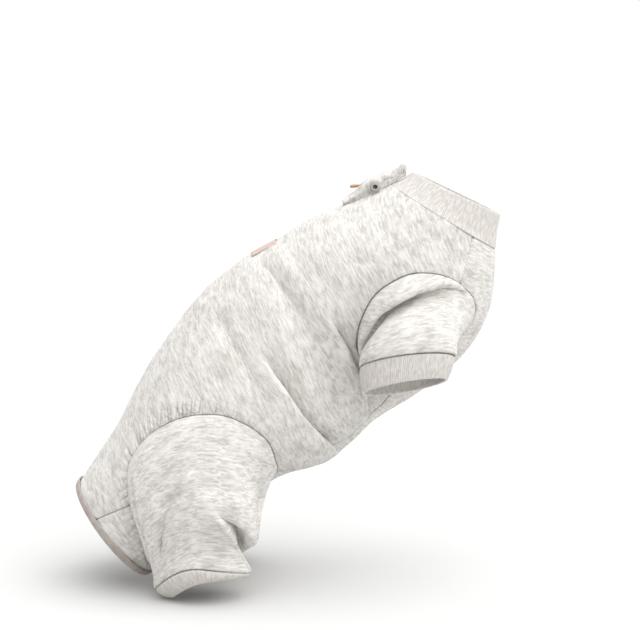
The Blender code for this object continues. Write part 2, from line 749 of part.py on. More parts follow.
def leather_tip():
    """A thin stem that widens into a small leather tip behind the tab."""
    start = np.array(TIP_START)
    end = np.array(TIP_END)
    sections = ((0.0, 0.6, 0.6), (0.36, 0.7, 0.6), (0.46, 1.9, 1.0), (0.9, 1.7, 1.3),
                (1.0, 0.8, 0.8))
    sides = 8
    points = []
    for share, half_width, half_height in sections:
        centre = start + (end - start) * share
        for k in range(sides):
            angle = math.tau * k / sides
            points.append(centre + (0, half_width * math.cos(angle), half_height * math.sin(angle)))
    faces = [tuple(range(sides))[::-1]]
    for r in range(len(sections) - 1):
        for k in range(sides):
            j = (k + 1) % sides
            faces.append((r * sides + k, r * sides + j, (r + 1) * sides + j, (r + 1) * sides + k))
    last = (len(sections) - 1) * sides
    faces.append(tuple(range(last, last + sides)))
    made = new_object("leather_tip", points, faces, LEATHER)
    shape = bmesh.new()
    shape.from_mesh(made.data)
    bmesh.ops.recalc_face_normals(shape, faces=shape.faces)
    shape.to_mesh(made.data)
    shape.free()


# ---------------------------------------------------------------- build
SUIT = "cat_bodysuit"


def build():
    """Clear the scene and make the whole suit."""
    for old in list(bpy.data.objects):
        bpy.data.objects.remove(old)
    suit = bpy.data.collections.new(SUIT)
    bpy.context.scene.collection.children.link(suit)
    front_hole = closed_outline(FRONT_ARMHOLE, FRONT_SLEEVE_POINTS)
    hind_hole = closed_outline(HIND_ARMHOLE, HIND_LEG_POINTS)
    panels(front_hole, hind_hole)
    sleeves(front_hole, hind_hole)
    collar()
    rear_binding()
    back_label()
    neck_tab()
    tab_snap()
    leather_tip()


build()
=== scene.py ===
"""A cat bodysuit in heather fleece, held in its worn, sitting form above a pale floor.

+X points to the head, +Z up, and the suit's right side is at -Y.  Tables and the maths on
them are in millimetres, and each mesh is scaled to metres as it is finished.
"""
import math
from collections import namedtuple

import bmesh
import bpy
import numpy as np
from mathutils import Matrix, Vector, noise
from mathutils.geometry import delaunay_2d_cdt


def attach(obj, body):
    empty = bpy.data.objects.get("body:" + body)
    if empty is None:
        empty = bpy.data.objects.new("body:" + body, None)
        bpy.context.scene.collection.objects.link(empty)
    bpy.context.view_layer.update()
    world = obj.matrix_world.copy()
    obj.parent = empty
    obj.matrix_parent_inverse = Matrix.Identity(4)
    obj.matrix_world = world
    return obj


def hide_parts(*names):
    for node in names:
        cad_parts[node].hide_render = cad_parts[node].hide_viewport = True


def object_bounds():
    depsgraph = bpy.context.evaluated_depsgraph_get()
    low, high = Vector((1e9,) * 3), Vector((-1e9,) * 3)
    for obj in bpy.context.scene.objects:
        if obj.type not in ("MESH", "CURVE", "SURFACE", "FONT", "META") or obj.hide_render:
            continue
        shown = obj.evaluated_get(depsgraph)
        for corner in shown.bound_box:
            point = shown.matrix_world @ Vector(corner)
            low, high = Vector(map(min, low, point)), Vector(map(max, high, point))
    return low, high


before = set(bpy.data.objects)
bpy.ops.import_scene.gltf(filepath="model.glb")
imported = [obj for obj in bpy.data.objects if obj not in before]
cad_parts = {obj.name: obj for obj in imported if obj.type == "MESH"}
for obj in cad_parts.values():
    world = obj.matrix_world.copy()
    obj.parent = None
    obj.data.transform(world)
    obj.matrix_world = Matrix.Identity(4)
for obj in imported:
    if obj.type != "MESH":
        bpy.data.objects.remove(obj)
cad_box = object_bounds()

MM = 0.001
SIDES = (("right", False), ("left", True))
CLOTH = 1.9  # thickness of the fleece
SEAM_ROLL = 1.5  # how far from a seam the cloth starts to turn in
SEAM_DIP = 1.3  # and how deep it has turned in at the seam itself
SEAM_THIN = 0.30  # share of its thickness that the thread leaves the cloth at a seam
SEAM_FULL = 1.3  # how far from a seam it has its whole thickness again
SEAM_SHADE = (0.1, 0.9)  # how far from a seam its shade starts to fade and is gone
THREAD_GAP = 0.15  # half the open slit along a seam

# Layers of soft unevenness in the cloth, as (height, size of its waves, seed).
TRUNK_RIPPLES = ((0.6, 26.0, 3.1), (0.3, 10.0, 8.7))
SLEEVE_RIPPLES = ((0.5, 20.0, 0.0), (0.25, 8.0, 5.0))
TAB_RIPPLES = ((0.9, 6.0, 4.4), (0.55, 2.8, 1.3))
RIGHT_SEED = 11.0  # added to the sleeves' seeds on each side
LEFT_SEED = 2.0
NOISE_GAIN = 1.6  # noise seldom passes 0.6, and this brings it near 1
BELLY_CALM = 30.0  # how far from the belly's middle its ripples are whole

# Puckers beside each seam of a panel, as (depth, reach, spacing).
PUCKERS = {
    "leg": (1.9, 10.5, 3.7),
    "sleeve": (0.5, 4.0, 4.5),
    "neck": (0.35, 5.0, 5.0),
    "rear": (0.4, 3.0, 4.0),
}
PUCKER_START = 1.6  # how far from a seam its puckers are whole
LEG_PUCKERS = (0.6, 0.9)  # share of their depth in front of the leg, and what is added
LEG_PUCKERS_GROW = (0.55, 0.8)  # between these shares of the way round it

# Zones of a panel's mesh: the size of their triangles, and how clear of its border they stay.
Zone = namedtuple("Zone", "step clear")
PUCKERED = Zone(0.75, 1.9)  # beside the leg's seam
BENT = Zone(1.5, 2.0)  # along the creases
PLAIN = Zone(2.6, 2.4)  # elsewhere
PUCKER_ZONE = 11.0  # how far from the leg's seam the first zone goes
BEND_REACH = 1.1  # and how many of their widths from the creases the second
EDGE_ROWS = (0.35, 0.8, 1.4)  # and rows of points beside the border, this far from it

# How strongly a seam of a panel rolls in, and how dark its painted shade is, as a share:
# little at the collar, more below a run of turns there, and wholly past a run along the trunk.
COLLAR_PULL = 0.25
CHEST_PULL = 0.5
CHEST_TURNS = (0.45, 0.70)
CHEST_ENDS = (1.0, 6.0)
PULL_GROWS = (15.0, 50.0)

# ---- the body of the suit
# Each row is a flat section across the trunk, seen from the side as the line from a point
# on the back to a point on the belly: its place along the trunk, x and z on the back, x and
# z on the belly, its half width, and a keel that narrows it towards the belly.
# A place on the trunk is (along, turn): a turn of 0 is the middle of the back, 1 or -1 that
# of the belly, and turns below 0 are on the left side.
STATIONS = np.array((
    (0, 16, 8, 95, -40, 42, 0.10),
    (35, -21, -8, 92, -82, 51, 0.18),
    (57, -37, -14, 80, -110, 55, 0.32),
    (82, -54, -23, 59, -134, 56, 0.52),
    (110, -71, -34, 33, -154, 57, 0.56),
    (137, -91, -45, 4, -172, 62, 0.34),
    (161, -108, -57, -16, -191, 65, 0.12),
    (185, -125, -71, -35, -205, 68, 0.00),
    (224, -152, -104, -72, -217, 70, 0.00),
    (265, -175, -139, -105, -244, 67, 0.05),
    (310, -197, -181, -139, -273, 59, 0.05),
    (354, -226, -224, -173, -293, 45, 0.00),
))
NECK = 0.0
RIM = 354.0

# Armholes, as closed outlines of (along, turn, arrives) on the trunk.  The last is how far
# round the cuff end of the sleeve, in turns from its outer side by way of its front, the
# cloth from there ends.
FRONT_ARMHOLE = (
    (42, 0.523, 0.02), (34, 0.620, 0.10), (37, 0.765, 0.20), (48, 0.823, 0.27),
    (62, 0.785, 0.35), (80, 0.703, 0.47), (99, 0.645, 0.58), (114, 0.610, 0.68),
    (112, 0.565, 0.75), (99, 0.512, 0.82), (75, 0.471, 0.88), (55, 0.480, 0.95),
)
HIND_ARMHOLE = (
    (231, 0.450, 0.00), (215, 0.527, 0.07), (206, 0.640, 0.15), (211, 0.750, 0.22),
    (219, 0.835, 0.30), (245, 0.865, 0.40), (285, 0.865, 0.50), (320, 0.840, 0.60),
    (341, 0.780, 0.68), (331, 0.615, 0.76), (319, 0.428, 0.82), (305, 0.318, 0.87),
    (283, 0.315, 0.91), (253, 0.376, 0.96),
)
FRONT_COLUMNS = 168
HIND_COLUMNS = 216

# Seams between the back and the belly panel, as (along, turn) points.
REAR_SEAM_TURN = 16 / 44
CHEST_SEAM = ((0, 0.668), (34.5, 0.680))
SIDE_SEAM = ((90, 0.670), (106, 0.770), (128, 0.860), (158, 0.905), (190, 0.900), (219, 0.835))
REAR_SEAM = ((320, 0.444), (336, 0.412), (354, REAR_SEAM_TURN))

# Creases of the trunk, each along a line of (along, turn) places.  A crease is "depth" deep
# and rises over "left" and "right" to its two sides.  A ridge "crest" high stands on its
# left, or on its right if below 0, and laps over the crease by "lap".
Crease = namedtuple("Crease", "line depth left right crest lap", defaults=(0.0,))
CREASE_FADE = 0.3  # share of its length over which a crease fades at each end
TROUGH_POWER = 1.3  # how steep its sides are
CREST_PLACE = 2.1  # where its ridge stands, in widths of that side,
CREST_WIDTH = 1.3  # how wide the ridge is,
LAP_PLACE = 2.2  # and where the lap is widest
TRUNK_CREASES = (
    # near side: from the back to the armpit, behind the front sleeve, and down the flank
    Crease(((137, 0.04), (131, 0.11), (129, 0.20), (128, 0.33), (130, 0.42), (133, 0.50),
            (138, 0.60), (144, 0.72), (150, 0.86)), 6.8, 7.0, 13.0, 0.8),
    Crease(((112, 0.43), (117, 0.50), (121, 0.555), (125, 0.62), (128, 0.69), (133, 0.78),
            (139, 0.90)), 9.5, 7.0, 1.8, -1.2, 5.0),
    Crease(((188, 0.15), (185, 0.24), (185, 0.33), (186, 0.42), (188, 0.50), (190, 0.60)),
           2.5, 4.0, 8.0, 0.5),
    Crease(((169, 0.40), (172, 0.47), (174, 0.555), (175, 0.64), (174, 0.73), (173, 0.83),
            (170, 0.94), (166, 0.99)), 14.0, 14.0, 2.2, -1.4, 6.0),
    Crease(((134, 0.40), (138, 0.47), (143, 0.55), (147, 0.63)), 2.2, 4.0, 7.0, 0.3),
    Crease(((141, 0.54), (147, 0.62), (152, 0.70), (158, 0.80)), 3.2, 5.0, 8.0, 0.4),
    Crease(((212, 0.24), (206, 0.33), (207, 0.43), (212, 0.50)), 1.0, 5.0, 9.0, 0.1),
    Crease(((96, 0.14), (104, 0.25), (110, 0.36)), 0.9, 6.0, 9.0, 0.1),
    Crease(((54, 0.18), (62, 0.30), (66, 0.42)), 1.2, 6.0, 9.0, 0.1),
    # far side: the same, uneven
    Crease(((134, -0.08), (128, -0.21), (127, -0.36), (133, -0.52), (141, -0.68), (150, -0.84)),
           5.4, 13.0, 6.0, -0.8),
    Crease(((113, -0.45), (121, -0.57), (127, -0.69), (136, -0.86)), 8.6, 1.8, 7.0, 1.2, 4.5),
    Crease(((192, -0.18), (187, -0.31), (188, -0.45), (193, -0.58)), 3.0, 8.0, 4.0, -0.5),
    Crease(((172, -0.40), (169, -0.53), (168, -0.64), (162, -0.77), (154, -0.90)),
           9.4, 2.2, 11.0, 1.4, 4.5),
    Crease(((144, -0.56), (150, -0.68), (157, -0.80)), 2.8, 8.0, 5.0, -0.4),
    Crease(((213, -0.23), (206, -0.38)), 1.2, 8.0, 5.0, -0.1),
    Crease(((58, -0.18), (68, -0.38)), 1.3, 9.0, 6.0, -0.1),
)

# ---- sleeves and cuffs
# A ring is an oval: centre, half length to the front and half width to the outer side.
# "nose" lifts its front end, "flare" its outer side and "heel" drops its rear.
Ring = namedtuple("Ring", "x y z half_length half_width nose flare heel")
FRONT_HEM = Ring(26.3, -57, -119.1, 34.2, 21, 4, 9.4, 0)
FRONT_CUFF_END = Ring(24.4, -57, -137.8, 30.3, 20.5, 5.1, 7.7, 0)
HIND_HEM = Ring(-126.5, -56, -276.6, 35.7, 25, -3.8, 6.3, 19)
HIND_CUFF_END = Ring(-125, -55, -285.5, 24, 21, 4, 3.5, 9)

# Courses down the front sleeve, as (share down, head, rest, lift).  The head is what lies
# above the fold and rolls over the rest: the second and third are shares of the two, and the
# lift moves the cloth out.
ROLLED = np.array((
    (0.00, 0.00, 0.00, 0.0), (0.09, 0.24, 0.00, 3.0), (0.20, 0.62, 0.00, 5.2),
    (0.29, 0.96, 0.00, 5.4), (0.35, 1.18, 0.00, 3.8), (0.39, 1.26, 0.00, 1.0),
    (0.43, 1.18, 0.00, -2.0), (0.47, 1.00, 0.00, -5.0), (0.51, 0.98, 0.03, -6.2),
    (0.58, 1.00, 0.15, -4.4), (0.68, 1.00, 0.37, -0.6), (0.80, 1.00, 0.64, 1.8),
    (0.92, 1.00, 0.88, 2.4), (1.00, 1.00, 1.00, 1.6),
))
SMOOTH = np.array((
    (0.00, 0.00, 0.00, 0.0), (0.20, 0.90, 0.03, 1.0), (0.45, 1.00, 0.30, 1.0),
    (0.80, 1.00, 0.76, 1.6), (1.00, 1.00, 1.00, 1.6),
))
FRONT_HEAD = np.array((  # turns round the cuff, and how far down the sleeve's head rolls
    (-0.50, 2.0), (-0.40, 2.0), (-0.31, 2.4), (-0.25, 4.8), (-0.19, 9.2), (-0.13, 12.2),
    (-0.08, 14.0), (-0.02, 13.2), (0.05, 8.0), (0.10, 4.0), (0.16, 2.2), (0.50, 2.0),
))

# Courses down the hind leg, as (share down, rest, lift, push, drop, swell, turn out).  The
# push moves the cloth out in front, at the crease below the knee, the drop moves it down
# there, by a share of its length, and the turn out to the outer side.  The swell moves the
# cloth out on the outer side.
LEG = np.array((
    (0.00, 0.00, 0.0, 0.0, 0.00, 0.0, 0.0),
    (0.12, 0.10, 2.6, -1.2, 0.00, 2.5, 0.0),
    (0.28, 0.28, 4.0, -2.4, 0.01, 6.0, 0.5),
    (0.42, 0.44, 3.6, 0.2, 0.04, 7.6, 4.0),
    (0.52, 0.54, 2.8, 2.4, 0.07, 7.6, 8.0),
    (0.60, 0.62, 2.0, 2.8, 0.08, 6.4, 10.5),
    (0.66, 0.68, 1.6, 0.4, 0.06, 5.2, 9.5),
    (0.72, 0.73, 1.4, -3.0, 0.05, 3.8, 7.0),
    (0.80, 0.81, 1.0, -5.4, 0.02, 1.6, 3.0),
    (0.90, 0.91, 0.8, -3.4, 0.00, 0.0, 0.5),
    (1.00, 1.00, 0.6, 0.0, 0.00, 0.0, 0.0),
))
CREASE_TURN = 0.25  # where round the hem the crease is deepest
CREASE_SPREAD = 0.18  # and how far round it fades away

HEAD_FLAT = 2.0  # a head that rolls down this far doesn't stand up,
HEAD_FULL = 12.0  # and one that goes this much further stands up wholly
HEAD_LEAST = 15.0  # least length that a head is taken as a share of
LIFT_LENGTH = 45.0  # length from which the front sleeve's lift is whole
FRONT_CLOTH = (190, 70)  # how far round and down a sleeve's creases are laid out
LEG_CLOTH = (260, 125)
FRONT_ROWS = 100
LEG_ROWS = 104
ROW_CROWDING = 0.6  # how much closer the rows are near both seams
RIPPLE_EASE = (6.0, 5.0)  # from a sleeve's top and its hem, where its ripples are whole
FRONT_ARRIVES = (0.05, 0.05, -1.0)  # the ways in which the lines of the sleeves end
LEG_ARRIVES = (0.0, 0.0, -1.0)

# Creases of the sleeves, as (turns round, shares down).
FRONT_CREASES = (
    Crease(((-0.44, 0.22), (-0.34, 0.30), (-0.25, 0.39), (-0.19, 0.42), (-0.12, 0.43),
            (-0.02, 0.43), (0.05, 0.39), (0.10, 0.28), (0.16, 0.17), (0.22, 0.10)),
           6.0, 7.5, 3.6, -1.2, 3.0),
    Crease(((0.02, 0.80), (0.12, 0.72), (0.20, 0.60)), 0.8, 3.0, 5.0, 0.3),
)
LEG_CREASES = (
    Crease(((0.02, 0.53), (0.06, 0.62), (0.095, 0.70), (0.125, 0.765), (0.16, 0.835),
            (0.195, 0.90), (0.225, 0.97), (0.255, 1.08), (0.285, 1.22)),
           13.5, 1.8, 15.0, 1.6, 1.5),
    Crease(((-0.26, 0.37), (-0.15, 0.365), (-0.09, 0.345), (0.05, 0.30)), 2.6, 5.0, 7.0, 0.4),
    Crease(((-0.24, 0.52), (-0.12, 0.47), (-0.04, 0.44), (0.08, 0.41)), 2.4, 5.0, 8.0, 0.4),
    Crease(((-0.19, 0.10), (-0.245, 0.26), (-0.285, 0.35), (-0.29, 0.62)), 3.0, 4.5, 2.0, 1.0),
    Crease(((-0.03, 0.40), (-0.12, 0.50), (-0.19, 0.63), (-0.26, 0.88)), 7.5, 10.0, 9.0, 0.4),
)

# ---- ribs, rim and trims
RIB_PITCH = 1.5  # from rib to rib; real ribs are 1.3 mm, and this is as fine as shows
RIB_DEPTH = 0.24
RIB_STEPS = 6  # columns of mesh to a rib
RIB_POWER = 0.7  # how full a rib is
BAND_WALL = 2.2  # thickness of a folded rib band
BAND_STEPS = 14  # rows of mesh on each of its faces
FOLD_STEPS = 6  # and round each of its edges
SWELL_POWER = 0.8  # how fast it swells from its edges

# Shares of a band's width: its faces, how far its fold bulges, where its ribs rise at the
# seam, where they sink at the fold, and how much of their depth they lose there.
BAND_FACE = (0.03, 0.97)
BAND_FOLD = 0.05
RIBS_RISE = (0.02, 0.10)
RIBS_SINK = (0.88, 0.97)
RIBS_LOSE = 0.6

CUFF_CLEAR = 0.8  # from the hem of a sleeve to its cuff
FRONT_CUFF_SWELL = 0.8
HIND_CUFF_SWELL = 1.6

COLLAR_BACK = (33.0, 0.0, 17.6)  # the collar's free edge at the back
COLLAR_FRONT = (98.5, 0.0, -13.6)  # and at the throat
COLLAR_HALF_WIDTH = 33.0
COLLAR_GIRTH = 265.0
COLLAR_CLEAR = 0.1
COLLAR_SWELL = 0.9

BINDING_ARM = 4.4  # how far in from the rim the tape reaches
BINDING_LIP = 0.4  # how far back its edges are rounded
BINDING_CLEAR = 0.3
BINDING_WALL = 1.1
BINDING_COLUMNS = 220
BINDING_CLOTH = (230, 14)  # length of the tape, and its girth when folded

LABEL_SPAN = (111.5, 136.0)  # along, front and rear edge of the patch on the back
LABEL_HALF_WIDTH = 14.0
LABEL_RISE = 0.4  # from the panel to the middle of its cloth
LABEL_WALL = 0.6

# The folded tab.
TAB_CLOTH = (50.0, 30.0)  # its length, and its width round its top
TAB_WALL = 1.6
TAB_POWER = 0.8  # how full its section is
TAB_EDGE = 0.10  # share of its width over which its folds start
TAB_TUCK = (0.42, 0.28)  # how far its right edge is tucked in, what is added
TAB_TUCK_GROWS = (4.0, 20.0)  # between these places along x,
TAB_TUCK_ANGLE = 0.52  # and how far round it that goes
TAB_FAR_TUCK = 0.2  # and the same at its left edge
TAB_FAR_ANGLE = 0.4
TAB = (  # its sections: x, the back's height there, its own, half its width, right lip's lift
    (27.0, 16.0, 5.0, 5.5, 0.8),
    (24.5, 14.4, 8.8, 7.5, 0.7),
    (18.0, 11.0, 7.4, 8.5, 0.2),
    (9.0, 7.1, 10.9, 9.5, 0.0),
    (0.0, 2.8, 11.2, 10.0, -0.3),
    (-7.0, -0.2, 8.2, 9.5, -0.3),
    (-14.0, -3.2, 4.6, 8.5, -0.3),
    (-21.0, -6.3, 1.8, 6.0, -0.3),
)
TAB_CREASES = (  # places are millimetres from its front end and from its right edge
    Crease(((-4.0, 4.0), (5.0, 6.5), (12.0, 8.5), (19.0, 6.5), (27.0, 7.5)), 3.6, 2.4, 3.4, 0.8),
    Crease(((3.0, 12.0), (8.0, 5.0), (13.0, 0.0)), 2.2, 1.6, 2.2, 0.6),
    Crease(((8.0, 14.0), (18.0, 12.0), (30.0, 15.0)), 1.8, 2.0, 1.5, 0.6),
    Crease(((17.0, 9.0), (22.0, 3.0), (26.0, 0.0)), 1.8, 1.6, 2.0, 0.5),
    Crease(((28.0, 3.0), (35.0, 8.0), (45.0, 8.0)), 1.4, 1.5, 2.2, 0.4),
    Crease(((5.0, 24.0), (16.0, 21.0), (30.0, 23.0)), 1.6, 1.6, 2.0, 0.5),
)
GRAIN_LEAN = 0.44  # at the collar the courses slope back from the ring of the neck
GRAIN_TURNS = (0.0, 230.0)  # and have turned square to the back by here
GRAIN_ROUNDS = 12.0  # how far from the middle of the back they round into the slope

BACK_RADIUS = 34.0  # of the back, which rounds away to each side under the tab

SNAP_CENTRE = (3.2, -12.1, 7.2)
SNAP_TILT = 68.0  # degrees that its face leans from level to the right
SNAP_PROFILE = (  # its turned outline, as (radius, height)
    (0.0, 0.3), (1.2, 0.3), (1.5, 0.5), (1.6, 1.0), (1.8, 1.3), (2.1, 1.4), (3.1, 1.2),
    (3.8, 0.9), (4.1, 0.5), (4.1, 0.0), (0.0, 0.0),
)
SNAP_SOCKET = (1.7, 0.1)  # radius of its dark socket, and the least height that is in it

TIP_LINE = np.array((  # share of its length, and its x, y and z there
    (0.0, -4.0, -1.5, 11.2), (0.4, -8.8, -1.9, 8.3),
    (0.6, -11.4, -2.2, 7.8), (1.0, -15.7, -2.5, 7.5),
))
TIP_SIZES = np.array((  # and half its width and height
    (0.0, 0.5, 0.4), (0.36, 0.6, 0.45), (0.44, 1.2, 0.8),
    (0.52, 1.9, 1.15), (0.9, 1.7, 1.3), (1.0, 0.9, 0.8),
))
TIP_CLOTH = (8, 13)  # its girth and length
TIP_STEPS = 24

# The cut of each piece of cloth, on one side or on both: the size in metres that it was cut
# to, all round on a tube, how it is held, its area, and what it lies on.
Cut = namedtuple("Cut", "flat held area rests_on", defaults=(None, ()))

# The stage, in metres.
FLOOR_HALF = 60
FLOOR_GAP = 0.0005  # from the suit's lowest point down to the floor
WALL = 0.47  # brightness of the room in front of the suit; behind it, it is 1
SKY = 0.40  # and what is added overhead
KEY_WAY = (0.38, -0.42, 0.82)  # the way to the lamp
KEY_SPREAD = 74  # its width in degrees
KEY_STRENGTH = 2.64
AIM = (-0.0385, 0.0, -0.0916)  # what the camera looks at, and where it stands
STAND = (-0.0385, -1.388, 0.0912)
FOCAL_LENGTH = 102.3  # on a sensor 36 mm wide


# ---- small maths
def smooth_rows(table, at):
    """Rows of a table read at places between its rows, by smooth curves through them."""
    keys = table[:, 0]
    rows = table[:, 1:]
    last = len(keys) - 1
    index = np.arange(last + 1)
    before = np.maximum(index - 1, 0)
    after = np.minimum(index + 1, last)
    slopes = (rows[after] - rows[before]) / (keys[after] - keys[before])[:, None]
    at = np.clip(np.asarray(at, float), keys[0], keys[-1])
    i = np.clip(np.searchsorted(keys, at, side="right") - 1, 0, last - 1)
    step = (keys[i + 1] - keys[i])[..., None]
    t = (at - keys[i])[..., None] / step
    start = (2 * t**3 - 3 * t**2 + 1) * rows[i] + (t**3 - 2 * t**2 + t) * step * slopes[i]
    end = (3 * t**2 - 2 * t**3) * rows[i + 1] + (t**3 - t**2) * step * slopes[i + 1]
    return start + end


def unit(vectors):
    """Vectors scaled to length one."""
    return vectors / np.maximum(np.linalg.norm(vectors, axis=-1, keepdims=True), 1e-12)


def spans(points, axis=0):
    """Ways from the point before each to the point after it, round a closed loop."""
    return np.roll(points, -1, axis=axis) - np.roll(points, 1, axis=axis)


def ease(value, start, end):
    """0 before start, 1 past end, and smooth between."""
    t = np.clip((value - start) / (end - start), 0.0, 1.0)
    return t * t * (3 - 2 * t)


def nearest_on(places, line):
    """Gap from flat places to a line, above 0 on its left, and how far along it they are.

    Also gives the line's length and, for each place, the way square to the line's left.
    """
    best = np.full(len(places), np.inf)
    signed = np.zeros(len(places))
    walked = np.zeros(len(places))
    leftward = np.zeros((len(places), 2))
    done = 0.0
    for start, end in zip(line[:-1], line[1:]):
        run = end - start
        length = math.hypot(*run)
        if length < 1e-9:
            continue
        off = places - start
        share = np.clip(off @ run / length**2, 0, 1)
        miss = off - share[:, None] * run
        gap = np.hypot(miss[:, 0], miss[:, 1])
        closer = gap < best
        left = run[0] * off[:, 1] - run[1] * off[:, 0] >= 0
        best[closer] = gap[closer]
        signed[closer] = np.where(left, gap, -gap)[closer]
        walked[closer] = (done + share * length)[closer]
        leftward[closer] = (-run[1] / length, run[0] / length)
        done += length
    return signed, walked, done, leftward


def crease_push(places, lines):
    """How far creases move the cloth out at flat places, and how they shift it flat.

    Each crease comes with its own flat line, as (line, crease).
    """
    push = np.zeros(len(places))
    shift = np.zeros((len(places), 2))
    for line, crease in lines:
        gap, walked, length, leftward = nearest_on(places, np.asarray(line, float))
        share = walked / length
        fade = ease(share, 0.0, CREASE_FADE) * ease(1.0 - share, 0.0, CREASE_FADE)
        reach = np.where(gap > 0, crease.left, crease.right)
        trough = crease.depth * np.exp(-np.abs(gap / reach) ** TROUGH_POWER)
        over, side = (crease.left, 1.0) if crease.crest > 0 else (crease.right, -1.0)
        beside = gap * side
        off = (beside - CREST_PLACE * over) / (CREST_WIDTH * over)
        ridge = abs(crease.crest) * np.exp(-off ** 2)
        rise = np.maximum(beside, 0.0) / (LAP_PLACE * over)
        lap = -side * crease.lap * fade * rise * np.exp(1.0 - rise)
        push += fade * (ridge - trough)
        shift += lap[:, None] * leftward
    return push, shift


def ripples(places, layers, seed=0.0):
    """Soft unevenness over flat places, in layers of (height, size of its waves, seed)."""
    push = 0.0
    for height, size, start in layers:
        waves = [noise.noise((x / size, y / size, seed + start)) for x, y in places]
        push = push + height * (np.array(waves) * NOISE_GAIN)
    return push


def seam_dip(gap):
    """How deep the cloth has turned in at one distance from its seam."""
    turned = np.clip(1.0 - gap / SEAM_ROLL, 0.0, 1.0)
    return SEAM_DIP * (1.0 - np.sqrt(1.0 - turned**2))


def seam_share(gap):
    """Share of its thickness that the cloth keeps at one distance from its seam."""
    return SEAM_THIN + (1.0 - SEAM_THIN) * ease(gap, 0.0, SEAM_FULL)


def seam_shade(gap):
    """How far the thread and the shade in a seam show at one distance from it, 0 to 1."""
    return 1.0 - ease(gap, *SEAM_SHADE)


def puckers(walked, gap, length, rng, depth, reach, spacing):
    """Short pleats that a seam draws into the cloth beside it, uneven in place and size."""
    push = np.zeros(len(walked))
    at = 0.0
    while at < length:
        at += spacing * rng.uniform(0.65, 1.35)
        width = spacing * rng.uniform(0.22, 0.34)
        run = reach * rng.uniform(0.55, 1.2)
        lean = rng.uniform(-0.25, 0.25)
        deep = depth * rng.uniform(0.45, 1.2)
        near = (np.abs(walked - at) < 3 * width + 0.3 * gap) & (gap < 2 * run)
        off = walked[near] - at - lean * gap[near]
        push[near] -= deep * np.exp(-((off / width) ** 2)) * np.exp(-((gap[near] / run) ** 2))
    return push * ease(gap, 0.0, PUCKER_START)


# ---- the trunk's surface
def plain_trunk(along, turn):
    """Middle of the cloth on the trunk, before any crease."""
    row = smooth_rows(STATIONS, along)
    back_x, back_z, belly_x, belly_z, half_width, keel = np.moveaxis(row, -1, 0)
    keel = np.maximum(keel, 1e-6)
    angle = math.pi * np.asarray(turn, float)
    depth = 0.5 - 0.5 * np.cos(angle)
    cosine = (np.sqrt(1 + 8 * keel**2) - 1) / (4 * keel)
    widest = np.sqrt(1 - cosine**2) * (1 + keel * cosine)
    side = np.sin(angle) * (1 + keel * np.cos(angle)) / widest
    x = back_x + depth * (belly_x - back_x)
    z = back_z + depth * (belly_z - back_z)
    return np.stack((x, -half_width * side, z), axis=-1)


def trunk_normal(along, turn):
    """Outward direction of the trunk's surface."""
    along = np.asarray(along, float)
    ahead = plain_trunk(np.minimum(along + 1, RIM), turn)
    ahead = ahead - plain_trunk(np.maximum(along - 1, NECK), turn)
    across = plain_trunk(along, turn + 0.004) - plain_trunk(along, turn - 0.004)
    return unit(np.cross(ahead, across))


GIRTH_KEYS = np.linspace(NECK, RIM, 355)
GIRTH_RINGS = plain_trunk(GIRTH_KEYS[:, None], np.linspace(0, 1, 33)[None, :])
GIRTHS = np.linalg.norm(np.diff(GIRTH_RINGS, axis=1), axis=-1).sum(axis=1)


def half_girth(along):
    """Length round the trunk from the middle of the back to the middle of the belly."""
    return np.interp(along, GIRTH_KEYS, GIRTHS)


def lay_flat(places):
    """(along, turn) places as flat ones, in millimetres along and across."""
    places = np.asarray(places, float)
    return np.column_stack((places[:, 0], places[:, 1] * half_girth(places[:, 0])))


def all_round(count):
    """Even shares of the way round from the middle of the back, and the turns there."""
    shares = np.arange(count) / count
    return shares, np.where(shares > 0.5, 2 * shares - 2, 2 * shares)


def closed(hole):
    """The outline of an armhole as (along, turn) places that end where they start."""
    return np.vstack((hole, hole[:1]))[:, :2]


def armhole_rows(edges, count):
    """Evenly spaced rows of an armhole, by a smooth closed curve through its table."""
    rows = np.array(edges, float)
    lap = (0, 0, 1)
    looped = np.vstack((rows[-1:] - lap, rows, rows[:2] + lap))
    t = np.linspace(0, 1, 16, endpoint=False)[:, None]
    fine = []
    for i in range(len(rows)):
        p0, p1, p2, p3 = looped[i:i + 4]
        fine.append(0.5 * (2 * p1 + (p2 - p0) * t + (2 * p0 - 5 * p1 + 4 * p2 - p3) * t**2
                           + (3 * p1 - p0 - 3 * p2 + p3) * t**3))
    fine = np.vstack(fine + [rows[:1] + lap])
    steps = np.linalg.norm(np.diff(plain_trunk(fine[:, 0], fine[:, 1]), axis=0), axis=1)
    walked = np.concatenate(((0,), np.cumsum(steps)))
    stops = np.linspace(0, walked[-1], count, endpoint=False)
    return np.column_stack([np.interp(stops, walked, fine[:, k]) for k in range(3)])


FRONT_HOLE = armhole_rows(FRONT_ARMHOLE, FRONT_COLUMNS)
HIND_HOLE = armhole_rows(HIND_ARMHOLE, HIND_COLUMNS)


# ---- materials
def paint(colour):
    """An sRGB hex colour as linear red, green, blue and an alpha of 1."""
    channels = [int(colour[i:i + 2], 16) / 255 for i in (0, 2, 4)]
    return [c / 12.92 if c <= 0.04045 else ((c + 0.055) / 1.055) ** 2.4 for c in channels] + [1.0]


